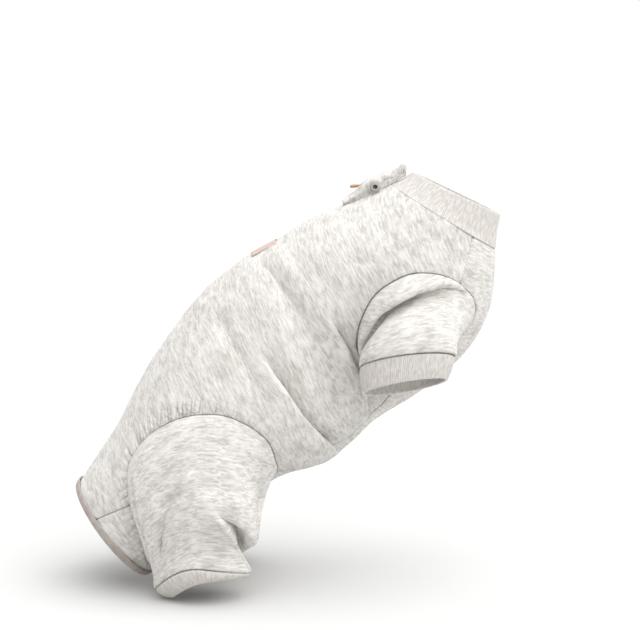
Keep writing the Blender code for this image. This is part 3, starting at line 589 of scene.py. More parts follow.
def add(tree, kind, settings=None, links=None, stops=()):
    """A shader node of one kind, with its settings, its links and, on a ramp, its stops.

    A setting is a property of the node or the value of a socket, by its name or number.
    """
    node = tree.nodes.new("ShaderNode" + kind)
    for key, value in (settings or {}).items():
        if isinstance(key, int) or key in node.inputs:
            node.inputs[key].default_value = value
        else:
            setattr(node, key, value)
    for key, source in (links or {}).items():
        tree.links.new(source, node.inputs[key])
    for index, (place, colour) in enumerate(stops):
        if index >= len(node.color_ramp.elements):
            node.color_ramp.elements.new(place)
        node.color_ramp.elements[index].position = place
        node.color_ramp.elements[index].color = paint(colour)
    return node


def new_material(name, settings):
    """A material with its Principled shader set, and the node tree to add its pattern to."""
    made = bpy.data.materials.new(name)
    made.use_nodes = True
    for key, value in settings.items():
        made.node_tree.nodes["Principled BSDF"].inputs[key].default_value = value
    return made, made.node_tree


def dressed(made, looks):
    """The material, with its pattern linked to what its shader reads."""
    for key, source in looks.items():
        made.node_tree.links.new(source, made.node_tree.nodes["Principled BSDF"].inputs[key])
    return made


def knitted(made, yarn, shades, deep, strength, height):
    """The material of a knit, whose yarn stands up and is paler where its noise is higher.

    The mesh's "groove" marks where deep, a painted shade, is multiplied into its colour:
    in seams, along with their thread, and in the grooves between ribs.
    """
    tree = made.node_tree
    colour = add(tree, "ValToRGB", None, {"Fac": yarn}, shades)
    groove = add(tree, "Attribute", {"attribute_name": "groove"}).outputs["Fac"]
    # Multiplies in deep where groove is 1: painted shade in the seams and between the ribs.
    both = add(tree, "Mix", {"data_type": "RGBA", "blend_type": "MULTIPLY", 7: paint(deep)},
               {0: groove, 6: colour.outputs["Color"]})
    bump = add(tree, "Bump", {"Strength": strength, "Distance": height}, {"Height": yarn})
    return dressed(made, {"Base Color": both.outputs[2], "Normal": bump.outputs[0]})


def heather_fleece():
    """Brushed heather fleece: cream and grey fibres carded together, then knitted.

    Long flecks of mixed fibre lie along the courses, which run along U, as soft ridges.
    The brushed nap makes it matt, with a pale bloom where it turns away.
    """
    made, tree = new_material("heather_fleece", {
        "Roughness": 0.95, "Specular IOR Level": 0.2, "Sheen Weight": 0.2, "Sheen Roughness": 0.6})
    uv = add(tree, "TexCoord").outputs["UV"]
    streaks = []  # flecks, fibres and clouds: length and thickness in mm, lean and bend
    for long, thick, lean, bend in ((8.0, 1.7, 0.10, 0.45), (3.4, 0.9, -0.22, 0.3),
                                    (17.0, 8.0, 0.05, 0.5)):
        place = add(tree, "Mapping", {"vector_type": "TEXTURE", "Rotation": (0, 0, lean),
                     "Scale": (long * MM, thick * MM, 1)}, {"Vector": uv})
        drawn = add(tree, "TexNoise",
                    {"noise_dimensions": "2D", "Scale": 1.0, "Detail": 2.0, "Roughness": 0.55,
                     "Distortion": bend}, {"Vector": place.outputs[0]})
        streaks.append(drawn.outputs["Fac"])
    flecks, fibres, clouds = streaks
    mixed = add(tree, "Math", {"operation": "MULTIPLY_ADD", 1: 0.40}, {0: fibres, 2: flecks})
    mixed = add(tree, "Math", {"operation": "MULTIPLY_ADD", 1: 0.60},
                {0: clouds, 2: mixed.outputs[0]})
    mixed = add(tree, "Math", {"operation": "MULTIPLY", 1: 0.5}, {0: mixed.outputs[0]}).outputs[0]
    shades = ((0.36, "B2AEA8"), (0.47, "C6C3BE"), (0.54, "D1CECA"), (0.66, "DEDBD7"))
    # D0CBC5 is the shade painted into the seams, along with their thread.
    return knitted(made, mixed, shades, "D0CBC5", 0.4, 0.0008)


def rib_knit():
    """Ribbed knit in the same heather yarn: pale ribs, and a shade painted into the grooves."""
    made, tree = new_material("rib_knit", {
        "Roughness": 0.92, "Specular IOR Level": 0.2, "Sheen Weight": 0.15})
    uv = add(tree, "TexCoord").outputs["UV"]
    place = add(tree, "Mapping",
                {"vector_type": "TEXTURE", "Scale": (1.6 * MM, 4.0 * MM, 1)}, {"Vector": uv})
    yarn = add(tree, "TexNoise",
               {"noise_dimensions": "2D", "Scale": 1.0, "Detail": 3.0, "Roughness": 0.6},
               {"Vector": place.outputs[0]}).outputs["Fac"]
    shades = ((0.34, "C1BDB8"), (0.50, "CDC9C5"), (0.66, "D9D6D2"))
    # ECE9E6 is the shade painted into the grooves between the ribs.
    return knitted(made, yarn, shades, "ECE9E6", 0.3, 0.0003)


def plain_cloth(name, dark, light, thread):
    """Plain woven cloth: threads over and under each other make a fine, matt grain."""
    made, tree = new_material(name, {"Roughness": 0.88, "Specular IOR Level": 0.25})
    uv = add(tree, "TexCoord").outputs["UV"]
    place = add(tree, "Mapping",
                {"vector_type": "TEXTURE", "Scale": (thread * MM, thread * MM, 1)}, {"Vector": uv})
    weave = add(tree, "TexChecker", {"Scale": 1.0}, {"Vector": place.outputs[0]})
    wear = add(tree, "TexNoise", {"Scale": 0.12, "Detail": 3.0}, {"Vector": place.outputs[0]})
    mixed = add(tree, "Math", {"operation": "MULTIPLY_ADD", 1: 0.25},
                {0: weave.outputs["Fac"], 2: wear.outputs["Fac"]}).outputs[0]
    colour = add(tree, "ValToRGB", None, {"Fac": mixed}, ((0.30, dark), (0.85, light)))
    bump = add(tree, "Bump", {"Strength": 0.3, "Distance": 0.0002}, {"Height": mixed})
    return dressed(made, {"Base Color": colour.outputs["Color"], "Normal": bump.outputs[0]})


def moulded_nylon():
    """Moulded nylon press stud: grey, half gloss, with a faint grain and a dark socket."""
    made, tree = new_material("moulded_nylon", {"Roughness": 0.42, "IOR": 1.53})
    place = add(tree, "TexCoord").outputs["Object"]
    grain = add(tree, "TexNoise", {"Scale": 3000.0, "Detail": 2.0},
                {"Vector": place}).outputs["Fac"]
    face = add(tree, "ValToRGB", None, {"Fac": grain}, ((0.3, "85827E"), (0.7, "9A9792")))
    socket = add(tree, "Attribute", {"attribute_name": "groove"}).outputs["Fac"]
    both = add(tree, "Mix", {"data_type": "RGBA", 7: paint("1F1E1C")},
               {0: socket, 6: face.outputs["Color"]})
    return dressed(made, {"Base Color": both.outputs[2]})


def tan_leather():
    """Vegetable-tanned leather, smooth and a little waxy: warm tan with darker pores."""
    made, tree = new_material("tan_leather", {"Roughness": 0.5})
    place = add(tree, "TexCoord").outputs["Object"]
    pores = add(tree, "TexVoronoi", {"Scale": 1600.0}, {"Vector": place}).outputs["Distance"]
    blotch = add(tree, "TexNoise", {"Scale": 220.0, "Detail": 3.0},
                 {"Vector": place}).outputs["Fac"]
    colour = add(tree, "ValToRGB", None, {"Fac": blotch}, ((0.3, "96714F"), (0.7, "BC9672")))
    bump = add(tree, "Bump", {"Strength": 0.25, "Distance": 0.0002}, {"Height": pores})
    return dressed(made, {"Base Color": colour.outputs["Color"], "Normal": bump.outputs[0]})


# Each slot's material.  The threads, 0.5 and 0.6 mm apart, are as coarse as they need to be
# to show.
FINISHES = {
    "heather_fleece": heather_fleece(),
    "rib_knit": rib_knit(),
    "binding_tape": plain_cloth("woven_binding_tape", "958D86", "B5ADA6", 0.5),
    "patch_cloth": plain_cloth("woven_patch", "B39F96", "CDBBB3", 0.6),
    "snap_stud": moulded_nylon(),
    "tan_leather": tan_leather(),
}


# ---- finishing a piece
def in_scene(name, data):
    """A new object in the scene."""
    made = bpy.data.objects.new(name, data)
    bpy.context.scene.collection.objects.link(made)
    return made


def as_object(name, shape, finish):
    """A new object in the scene from a mesh, in one material."""
    mesh = bpy.data.meshes.new(name)
    shape.to_mesh(mesh)
    shape.free()
    mesh.materials.append(finish)
    return in_scene(name, mesh)


def finish_piece(name, shape, slot, wall=0.0):
    """A finished object from a mesh in millimetres, in the slot's material.

    A mesh with vertex weights gets its wall in those shares of the thickness.
    """
    weighted = shape.verts.layers.deform.active is not None
    bmesh.ops.scale(shape, vec=(MM, MM, MM), verts=shape.verts[:])
    for face in shape.faces:
        face.smooth = True
    made = as_object(name + "_shown", shape, FINISHES[slot])
    if wall:
        solidify = made.modifiers.new("cloth thickness", "SOLIDIFY")
        solidify.thickness = wall * MM
        solidify.offset = 0.0
        solidify.use_quality_normals = True
        if weighted:
            solidify.vertex_group = made.vertex_groups.new(name="thickness").name
    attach(made, "root")
    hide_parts(name)


def lay_uv(shape, flat_place):
    """A UV map in metres, from each vertex's place in millimetres on the flat cloth."""
    uv = shape.loops.layers.uv.new("UVMap")
    for face in shape.faces:
        for loop in face.loops:
            across, down = flat_place(loop.vert.co)
            loop[uv].uv = (across * MM, down * MM)


def move_to(shape, points):
    """Moves each vertex to its point."""
    for vert, point in zip(shape.verts, points):
        vert.co = point


def tube_shape(rings, around, down, closed_rows=False, groove=None, seam_gap=None):
    """A grid bent into a tube through rings of points; around and down are its cloth sizes.

    around may have a size for each ring, and down the distance down at each point.
    With closed_rows its last ring joins its first.  groove, one value for each point, is
    kept as an attribute for the shade painted into the ribs' grooves, and seam_gap, its
    distance from a seam, sets the thickness and the painted shade, with the thread, there.
    """
    rows, columns = rings.shape[:2]
    last_row = rows if closed_rows else rows - 1
    around = np.broadcast_to(around, rows)
    if not np.ndim(down):
        down = np.repeat(np.linspace(0, down, last_row + 1)[:, None], columns, axis=1)

    def cell(place):
        return round((place.y + 0.5) * last_row), round((place.x + 0.5) * columns) % columns

    def on_cloth(place):
        row, column = cell(place)
        return place.x * around[row % rows], down[row, column]

    shape = bmesh.new()
    bmesh.ops.create_grid(shape, x_segments=columns, y_segments=last_row, size=0.5)
    lay_uv(shape, on_cloth)
    # The groove layer holds the painted shade: between the ribs, or in seams with their thread.
    deep = shape.verts.layers.float.new("groove")
    if seam_gap is not None:
        groove = seam_shade(seam_gap)
        thin = seam_share(seam_gap)
        weights = shape.verts.layers.deform.verify()
    for vert in shape.verts:
        row, column = cell(vert.co)
        row %= rows
        vert.co = rings[row, column]
        if groove is not None:
            vert[deep] = groove[row, column]
        if seam_gap is not None:
            vert[weights][0] = thin[row, column]
    bmesh.ops.remove_doubles(shape, verts=shape.verts[:], dist=0.01)
    return shape


def ring_normals(rings, closed_rows=False):
    """Directions square to a tube's surface at each point of its rings."""
    around = spans(rings, axis=1)
    down = spans(rings)
    if not closed_rows:
        down[0] = rings[1] - rings[0]
        down[-1] = rings[-1] - rings[-2]
    return unit(np.cross(down, around))


def finish_tube(name, rings, sizes, slot, left, wall=0.0, **kept):
    """A finished tube through the rings of the right side, mirrored for the left."""
    shape = tube_shape(rings * (1, -1, 1) if left else rings, *sizes, **kept)
    if left:
        bmesh.ops.reverse_faces(shape, faces=shape.faces[:])
    finish_piece(name, shape, slot, wall)


# ---- panels
def along_line(points):
    """Points a plain step apart along a run of (along, turn) points, ends included."""
    walked = [tuple(points[0])]
    for start, end in zip(points[:-1], points[1:]):
        start = np.array(start, float)
        end = np.array(end, float)
        run = np.linalg.norm(plain_trunk(*end) - plain_trunk(*start))
        parts = max(1, round(run / PLAIN.step))
        for k in range(1, parts + 1):
            walked.append(tuple(start + (end - start) * k / parts))
    return walked


def arc(hole, first, last, forward):
    """The points of an armhole from one to another, going one way round."""
    step = 1 if forward else -1
    picked = [first]
    while picked[-1] != last:
        picked.append((picked[-1] + step) % len(hole))
    return [tuple(hole[i, :2]) for i in picked]


def nearest(hole, place):
    """Which point of an armhole is nearest to a place on the trunk."""
    off = (hole[:, :2] - place) * (1, half_girth(place[0]))
    return int(np.argmin(np.linalg.norm(off, axis=1)))


def panel_border(belly):
    """Border of the right half of a panel, from the neck's middle to the rim's middle."""
    middle = 1.0 if belly else 0.0
    chest = nearest(FRONT_HOLE, CHEST_SEAM[-1])
    axilla = nearest(FRONT_HOLE, SIDE_SEAM[0])
    groin = nearest(HIND_HOLE, SIDE_SEAM[-1])
    rump = nearest(HIND_HOLE, REAR_SEAM[0])
    chest_seam = CHEST_SEAM[:-1] + (tuple(FRONT_HOLE[chest, :2]),)
    side_seam = (tuple(FRONT_HOLE[axilla, :2]),) + SIDE_SEAM[1:-1] + (tuple(HIND_HOLE[groin, :2]),)
    rear_seam = (tuple(HIND_HOLE[rump, :2]),) + REAR_SEAM[1:]
    border = along_line(((NECK, middle), (NECK, CHEST_SEAM[0][1])))
    for part in (along_line(chest_seam), arc(FRONT_HOLE, chest, axilla, forward=belly),
                 along_line(side_seam), arc(HIND_HOLE, groin, rump, forward=belly),
                 along_line(rear_seam), along_line(((RIM, REAR_SEAM_TURN), (RIM, middle)))):
        border += part[1:]
    return border


def honeycomb(low, high, step):
    """Flat points in staggered rows, one step apart."""
    row_step = step * math.sqrt(3) / 2
    rows = []
    for k in range(int((high[0] - low[0]) / row_step) + 1):
        y = np.arange(low[1] + 0.5 * step * (k % 2), high[1], step)
        rows.append(np.column_stack((np.full(len(y), low[0] + k * row_step), y)))
    return np.vstack(rows)


def cut_flat(border, leg_seam, creases):
    """The right half of a panel cut flat and meshed, with its left half mirrored on.

    Its triangles are smaller near the creases, which are given as (line, reach), and
    smaller still in the zone that the leg's seam puckers.
    """
    step = PLAIN.step
    centre_line = np.arange(RIM - step, NECK + 0.5 * step, -step)
    outline = np.vstack((border, np.column_stack((centre_line, np.zeros(len(centre_line))))))
    edge = np.vstack((outline, outline[:1]))
    run = spans(outline)
    inward = unit(np.column_stack((-run[:, 1], run[:, 0])))
    fill = [outline]
    for depth in EDGE_ROWS:
        for side in (-1, 1):
            row = outline + side * depth * inward
            gap = np.abs(nearest_on(row, edge)[0])
            fill.append(row[gap > 0.9 * depth])
    low, high = outline.min(axis=0), outline.max(axis=0)
    for zone in (PUCKERED, BENT, PLAIN):
        row = honeycomb(low, high, zone.step)
        puckered = np.abs(nearest_on(row, leg_seam)[0]) < PUCKER_ZONE
        bent = np.zeros(len(row), bool)
        for line, reach in creases:
            bent |= np.abs(nearest_on(row, line)[0]) < reach
        wanted = np.where(puckered, PUCKERED.step, np.where(bent, BENT.step, PLAIN.step))
        row = row[wanted == zone.step]
        fill.append(row[np.abs(nearest_on(row, edge)[0]) > zone.clear])
    points = [Vector(p) for p in np.vstack(fill)]
    edges = [(i, (i + 1) % len(outline)) for i in range(len(outline))]
    points, _, faces, _, _, _ = delaunay_2d_cdt(points, edges, [], 1, 1e-4)
    shape = bmesh.new()
    verts = [shape.verts.new((x, y, 0)) for x, y in points]
    for face in faces:
        shape.faces.new([verts[i] for i in face])
    bmesh.ops.delete(shape, geom=[v for v in shape.verts if not v.link_faces], context="VERTS")
    whole = shape.verts[:] + shape.edges[:] + shape.faces[:]
    bmesh.ops.mirror(shape, geom=whole, matrix=Matrix.Identity(4), merge_dist=0.01, axis="Y")
    bmesh.ops.recalc_face_normals(shape, faces=shape.faces[:])
    return shape


def trunk_panel(name, belly):
    """A panel of the trunk: cut flat, bent round the body, creased and rolled in at seams."""
    def across(places):
        girth = half_girth(places[:, 0])
        turns = 1.0 - places[:, 1] if belly else places[:, 1]
        return np.column_stack((places[:, 0], turns * girth))

    def on_cloth(place):
        along, reach, _ = place
        lean = 0.0 if belly else GRAIN_LEAN * (1.0 - ease(along, *GRAIN_TURNS))
        return reach, along - lean * (math.hypot(reach, GRAIN_ROUNDS) - GRAIN_ROUNDS)

    border = across(np.array(panel_border(belly), float))
    bends = [(across(np.abs(fold.line)), BEND_REACH * max(fold.left, fold.right))
             for fold in TRUNK_CREASES]
    shape = cut_flat(border, across(closed(HIND_HOLE)), bends)
    lay_uv(shape, on_cloth)
    flat = np.array([v.co[:2] for v in shape.verts])
    side = np.where(flat[:, 1] < 0, -1.0, 1.0)
    turn = np.abs(flat[:, 1]) / half_girth(flat[:, 0])
    turn = side * (1.0 - turn if belly else turn)
    spread = lay_flat(np.column_stack((flat[:, 0], turn)))

    push, shift = crease_push(spread, [(lay_flat(fold.line), fold) for fold in TRUNK_CREASES])
    calm = ease(np.abs(flat[:, 1]), 0.0, BELLY_CALM) if belly else 1.0
    push += calm * ripples(spread, TRUNK_RIPPLES)

    rng = np.random.default_rng(7)
    seams = {
        "leg": lay_flat(closed(HIND_HOLE)),
        "sleeve": lay_flat(closed(FRONT_HOLE)),
        "neck": np.array(((0.0, -1.0), (0.0, half_girth(0.0) + 1.0))),
        "rear": lay_flat(REAR_SEAM),
    }
    for seam, sizes in PUCKERS.items():
        gap, walked, length, _ = nearest_on(np.abs(spread), seams[seam])
        gap = np.abs(gap)
        for hand in (1, -1):
            drawn = puckers(walked, gap, length, rng, *sizes)
            if seam == "leg":
                least, more = LEG_PUCKERS
                drawn *= least + more * ease(walked / length, *LEG_PUCKERS_GROW)
            push += np.where(side == hand, drawn, 0.0)

    edge_gap = np.abs(nearest_on(np.column_stack((flat[:, 0], np.abs(flat[:, 1]))), border)[0])
    on_chest = ease(np.abs(turn), *CHEST_TURNS) * (1.0 - ease(flat[:, 0], *CHEST_ENDS))
    pull = np.maximum(COLLAR_PULL + CHEST_PULL * on_chest, ease(flat[:, 0], *PULL_GROWS))
    push -= pull * seam_dip(edge_gap)
    along = flat[:, 0] + shift[:, 0]
    turn = turn + shift[:, 1] / half_girth(flat[:, 0])
    out = trunk_normal(along, turn)
    move_to(shape, plain_trunk(along, turn) + push[:, None] * out)
    # groove holds the shade painted into the seams, with their thread, as dark as pull allows.
    groove = shape.verts.layers.float.new("groove")
    weights = shape.verts.layers.deform.verify()
    shares = 1.0 - pull * (1.0 - seam_share(edge_gap))
    for vert, shade, share in zip(shape.verts, pull * seam_shade(edge_gap), shares):
        vert[groove] = shade
        vert[weights][0] = share
    shape.normal_update()
    facing = sum(vert.normal.dot(Vector(n)) for vert, n in zip(shape.verts, out))
    if facing < 0:
        bmesh.ops.reverse_faces(shape, faces=shape.faces[:])
    finish_piece(name, shape, "heather_fleece", CLOTH)


# ---- sleeves
def ring_points(ring, turns):
    """Points of an oval ring; 0 turns is its outer side and a quarter turn its front."""
    ahead = np.sin(math.tau * turns)
    outer = np.cos(math.tau * turns)
    behind = np.maximum(0.0, -ahead)
    x = ring.x + ring.half_length * ahead
    y = ring.y - ring.half_width * outer
    z = ring.z + ring.nose * ahead + ring.flare * outer - ring.heel * behind**2
    return np.stack((x, y, z), axis=-1)


def sleeve_lines(hole, hem):
    """Where each line of a sleeve starts and ends, and the direction in which it sets off."""
    edge = plain_trunk(hole[:, 0], hole[:, 1])
    outward = trunk_normal(hole[:, 0], hole[:, 1])
    tangent = unit(spans(edge))
    into_hole = unit(np.cross(tangent, outward))
    ends = ring_points(hem, hole[:, 2])
    goes = unit(ends - edge)
    agree = 0.5 + 0.5 * np.einsum("ij,ij->i", goes, into_hole)
    leave = unit(into_hole * agree[:, None] + outward * (1.0 - agree)[:, None])
    return edge + into_hole * THREAD_GAP, leave, ends


def sleeve_rings(starts, leave, ends, arrive_way, shares, lifts):
    """Rings of a sleeve: smooth lines from the armhole to the hem, with the cloth lifted.

    shares and lifts have a row for each course and a column for each line.
    """
    reach = np.linalg.norm(ends - starts, axis=1)[:, None]
    set_off = leave * reach
    arrive = np.array(arrive_way) * reach

    def place(v):
        v = v[..., None]
        return ((2 * v**3 - 3 * v**2 + 1) * starts + (v**3 - 2 * v**2 + v) * set_off
                + (3 * v**2 - 2 * v**3) * ends + (v**3 - v**2) * arrive)

    middle = place(shares)
    down = place(np.minimum(shares + 0.02, 1.0)) - place(np.maximum(shares - 0.02, 0.0))
    around = spans(middle, axis=1)
    return middle + unit(np.cross(down, around)) * lifts[..., None]


def sleeve_courses(rows):
    """Shares down a sleeve for its rows, which are closer together near both seams."""
    even = np.linspace(0, 1, rows)
    return even - ROW_CROWDING * np.sin(math.tau * even) / math.tau


def front_sleeve_rings(hole, at):
    """Rings of the right front sleeve: a puffed head that rolls over the part below it."""
    starts, leave, ends = sleeve_lines(hole, FRONT_HEM)
    reach = np.linalg.norm(ends - starts, axis=1)
    turns = (hole[:, 2] + 0.5) % 1.0 - 0.5
    head = smooth_rows(FRONT_HEAD, turns)[:, 0]
    stands = np.clip((head - HEAD_FLAT) / HEAD_FULL, 0, 1)
    head = head / np.maximum(reach, HEAD_LEAST)
    rolled = smooth_rows(ROLLED, at)[:, None, :]
    smooth = smooth_rows(SMOOTH, at)[:, None, :]
    mix = (stands**0.5)[None, :, None]
    courses = rolled * mix + smooth * (1.0 - mix)
    shares = courses[..., 0] * head + courses[..., 1] * (1 - head)
    lifts = courses[..., 2] * np.minimum(reach / LIFT_LENGTH, 1.0)
    return sleeve_rings(starts, leave, ends, FRONT_ARRIVES, shares, lifts)


def hind_leg_rings(hole, at):
    """Rings of the right hind leg: a full thigh, and a crease in front below the knee."""
    starts, leave, ends = sleeve_lines(hole, HIND_HEM)
    reach = np.linalg.norm(ends - starts, axis=1)
    turns = (hole[:, 2] - CREASE_TURN + 0.5) % 1.0 - 0.5
    crease = np.exp(-((turns / CREASE_SPREAD) ** 2))
    full = reach / reach.max()
    courses = smooth_rows(LEG, at)[:, None, :]
    outer = np.maximum(np.cos(math.tau * hole[:, 2]), 0.0)
    shares = courses[..., 0] + courses[..., 3] * crease
    lifts = courses[..., 1] * full + courses[..., 2] * crease + courses[..., 4] * outer
    rings = sleeve_rings(starts, leave, ends, LEG_ARRIVES, shares, lifts)
    rings[..., 1] -= courses[..., 5] * crease
    return rings


def ring_sizes(rings):
    """The length round each ring."""
    return np.linalg.norm(np.roll(rings, -1, axis=1) - rings, axis=-1).sum(axis=1)


def creased(rings, at, creases, cloth, seed, trunk_out):
    """Rings with creases pressed in and both ends rolled into their seams.

    The creases' places are turns round and shares down, on a cloth so many mm round and down.
    Beside the armhole the roll goes in along the trunk's own outward ways, trunk_out, so
    that it meets the trunk's.  Also gives each point's distance from the nearest seam: the
    one at each end, and the one down the inner side.
    """
    rows, columns = rings.shape[:2]
    around, down = cloth
    u, w = np.meshgrid(np.arange(columns) / columns, at)
    flat = np.column_stack((u.ravel() * around, w.ravel() * down))
    push, shift = crease_push(flat, [(np.array(fold.line, float) * cloth + (lap, 0), fold)
                                     for fold in creases for lap in (-around, 0.0, around)])
    angle = math.tau * flat[:, 0] / around
    loop = around / math.tau
    wrapped = np.column_stack((loop * np.cos(angle) + flat[:, 1], loop * np.sin(angle)))
    push += ripples(wrapped, SLEEVE_RIPPLES, seed)
    from_top, from_hem = RIPPLE_EASE
    push *= ease(flat[:, 1], 0.0, from_top) * ease(down - flat[:, 1], 0.0, from_hem)
    walked = np.linalg.norm(np.diff(rings, axis=0), axis=-1).cumsum(axis=0)
    walked = np.vstack((np.zeros((1, columns)), walked))
    seam_gap = np.minimum(walked, walked[-1] - walked)
    seam_gap = np.minimum(seam_gap, np.abs(u - 0.5) * ring_sizes(rings)[:, None])
    push = push.reshape(rows, columns)
    shift = shift.reshape(rows, columns, 2)
    ahead = unit(spans(rings, axis=1))
    below = unit(np.gradient(rings, axis=0))
    moved = rings + shift[..., :1] * ahead + shift[..., 1:] * below
    out = ring_normals(rings)
    at_trunk = (walked <= seam_gap)[..., None]
    dips = seam_dip(seam_gap)[..., None] * np.where(at_trunk, trunk_out[None], out)
    return moved + push[..., None] * out - dips, seam_gap


def sleeve_piece(name, hole, rings, at, creases, cloth, left):
    """A sleeve from its plain rings; the left one is mirrored and ripples differently.

    Its cloth is measured up from the hem, and its edges meet down the inner side.
    """
    sizes = ring_sizes(rings)
    steps = np.linalg.norm(np.diff(rings, axis=0), axis=-1)
    up = np.vstack((steps[::-1].cumsum(axis=0)[::-1], np.zeros(rings.shape[1])))
    trunk_out = trunk_normal(hole[:, 0], hole[:, 1])
    seed = LEFT_SEED if left else RIGHT_SEED
    rings, seam_gap = creased(rings, at, creases, cloth, seed, trunk_out)
    half = rings.shape[1] // 2
    rings, up, seam_gap = [np.roll(grid, half, axis=1) for grid in (rings, up, seam_gap)]
    # seam_gap also paints the shade and thread into the sleeve's seams.
    finish_tube(name, rings, (sizes, up), "heather_fleece", left, CLOTH, seam_gap=seam_gap)


# ---- ribbed bands
def band_loop():
    """The closed section of a folded band: (share of its width, side) from -1 in to 1 out."""
    start, end = BAND_FACE
    face = np.arange(BAND_STEPS + 1) / BAND_STEPS * (end - start)
    angle = math.pi * np.arange(1, FOLD_STEPS) / FOLD_STEPS
    outer = np.column_stack((start + face, np.ones(len(face))))
    fold = np.column_stack((end + BAND_FOLD * np.sin(angle), np.cos(angle)))
    inner = np.column_stack((end - face, -np.ones(len(face))))
    seam = np.column_stack((start - start * np.sin(angle), -np.cos(angle)))
    return np.vstack((outer, fold, inner, seam))


def rib_band(name, seam, free, swell, left=False):
    """A folded band of ribbed knit between its seam ring and its free ring."""
    width, side = band_loop().T
    share = width[:, None, None]
    middle = seam + (free - seam) * share
    around = spans(middle, axis=1)
    out = unit(np.cross((free - seam)[None], around))
    body = middle + out * (swell * np.sin(math.pi * np.clip(share, 0, 1)) ** SWELL_POWER)
    body = body + out * (0.5 * BAND_WALL * side[:, None, None])
    wave = 0.5 + 0.5 * np.cos(math.tau * np.arange(len(seam)) / RIB_STEPS)
    rib = wave[None, :] ** RIB_POWER
    fade = (ease(width, *RIBS_RISE) * (1.0 - RIBS_LOSE * ease(width, *RIBS_SINK)))[:, None]
    skin = ring_normals(body, closed_rows=True)
    body = body + skin * (RIB_DEPTH * (rib - 0.5) * fade)[..., None]
    around_mm = float(np.linalg.norm(np.diff(free, axis=0), axis=1).sum())
    down_mm = 2.0 * float(np.linalg.norm(free - seam, axis=1).mean())
    # groove paints shade into the grooves between the ribs, less where they fade.
    finish_tube(name, body, (around_mm, down_mm), "rib_knit", left, closed_rows=True,
                groove=(1.0 - rib) * fade)


def rib_columns(length):
    """How many columns of mesh carry whole ribs round a band of one length."""
    return int(round(length / RIB_PITCH)) * RIB_STEPS


def cuff_rings(hem, end):
    """Seam ring and free ring of a cuff, with whole, even ribs round it."""
    turns = np.linspace(0, 1, 2 * 360 + 1)
    walked = np.linalg.norm(np.diff(ring_points(hem, turns), axis=0), axis=1).cumsum()
    walked = np.concatenate(((0,), walked))
    columns = rib_columns(walked[-1])
    even = np.interp(np.arange(columns) / columns * walked[-1], walked, turns)
    seam = ring_points(hem, even)
    free = ring_points(end, even)
    return seam + unit(free - seam) * CUFF_CLEAR, free


def collar():
    """The ribbed collar, from the neck seam to its free edge."""
    shares, turns = all_round(rib_columns(COLLAR_GIRTH))
    seam = plain_trunk(NECK, turns)
    angle = math.tau * shares
    back = np.array(COLLAR_BACK)
    free = back + (COLLAR_FRONT - back) * (0.5 - 0.5 * np.cos(angle))[:, None]
    free[:, 1] -= COLLAR_HALF_WIDTH * np.sin(angle)
    rib_band("collar", seam + unit(free - seam) * COLLAR_CLEAR, free, COLLAR_SWELL)


# ---- rim, patch and trims
def rear_binding():
    """The tape folded over the rim of the rear opening."""
    _, turns = all_round(BINDING_COLUMNS)
    rim = plain_trunk(RIM, turns)
    out = trunk_normal(RIM, turns)
    beyond = unit(rim - plain_trunk(RIM - 2.0, turns))
    near = 0.5 * CLOTH + BINDING_CLEAR
    far = near + BINDING_WALL
    middle = 0.5 * (near + far)
    edge = -BINDING_ARM + BINDING_LIP
    section = ((far, edge), (far + 0.15, -2.6), (far, -0.8), (0.85 * far, 0.9), (0.5 * far, 1.7),
               (0.0, 2.0), (-0.5 * far, 1.7), (-0.85 * far, 0.9), (-far, -0.8), (-far, edge),
               (-middle, -BINDING_ARM), (-near, edge), (-near, 0.2), (near, 0.2), (near, edge),
               (middle, -BINDING_ARM))  # as (out from the rim, beyond it)
    rings = np.array([rim + out * away + beyond * past for away, past in section])
    shape = tube_shape(rings, *BINDING_CLOTH, closed_rows=True)
    finish_piece("rear_binding", shape, "binding_tape")


def back_label():
    """The plain patch on the back, laid on the panel's own points."""
    shape = bmesh.new()
    bmesh.ops.create_grid(shape, x_segments=20, y_segments=26, size=0.5)
    front, rear = LABEL_SPAN
    long = rear - front
    lay_uv(shape, lambda place: (place.x * long, place.y * 2 * LABEL_HALF_WIDTH))
    flat = np.array([v.co[:2] for v in shape.verts])
    along = front + (flat[:, 0] + 0.5) * long
    turn = 2 * LABEL_HALF_WIDTH * flat[:, 1] / half_girth(along)
    rise = (0.5 * CLOTH + LABEL_RISE) * trunk_normal(along, turn)
    move_to(shape, plain_trunk(along, turn) + rise)
    finish_piece("back_label", shape, "patch_cloth", LABEL_WALL)


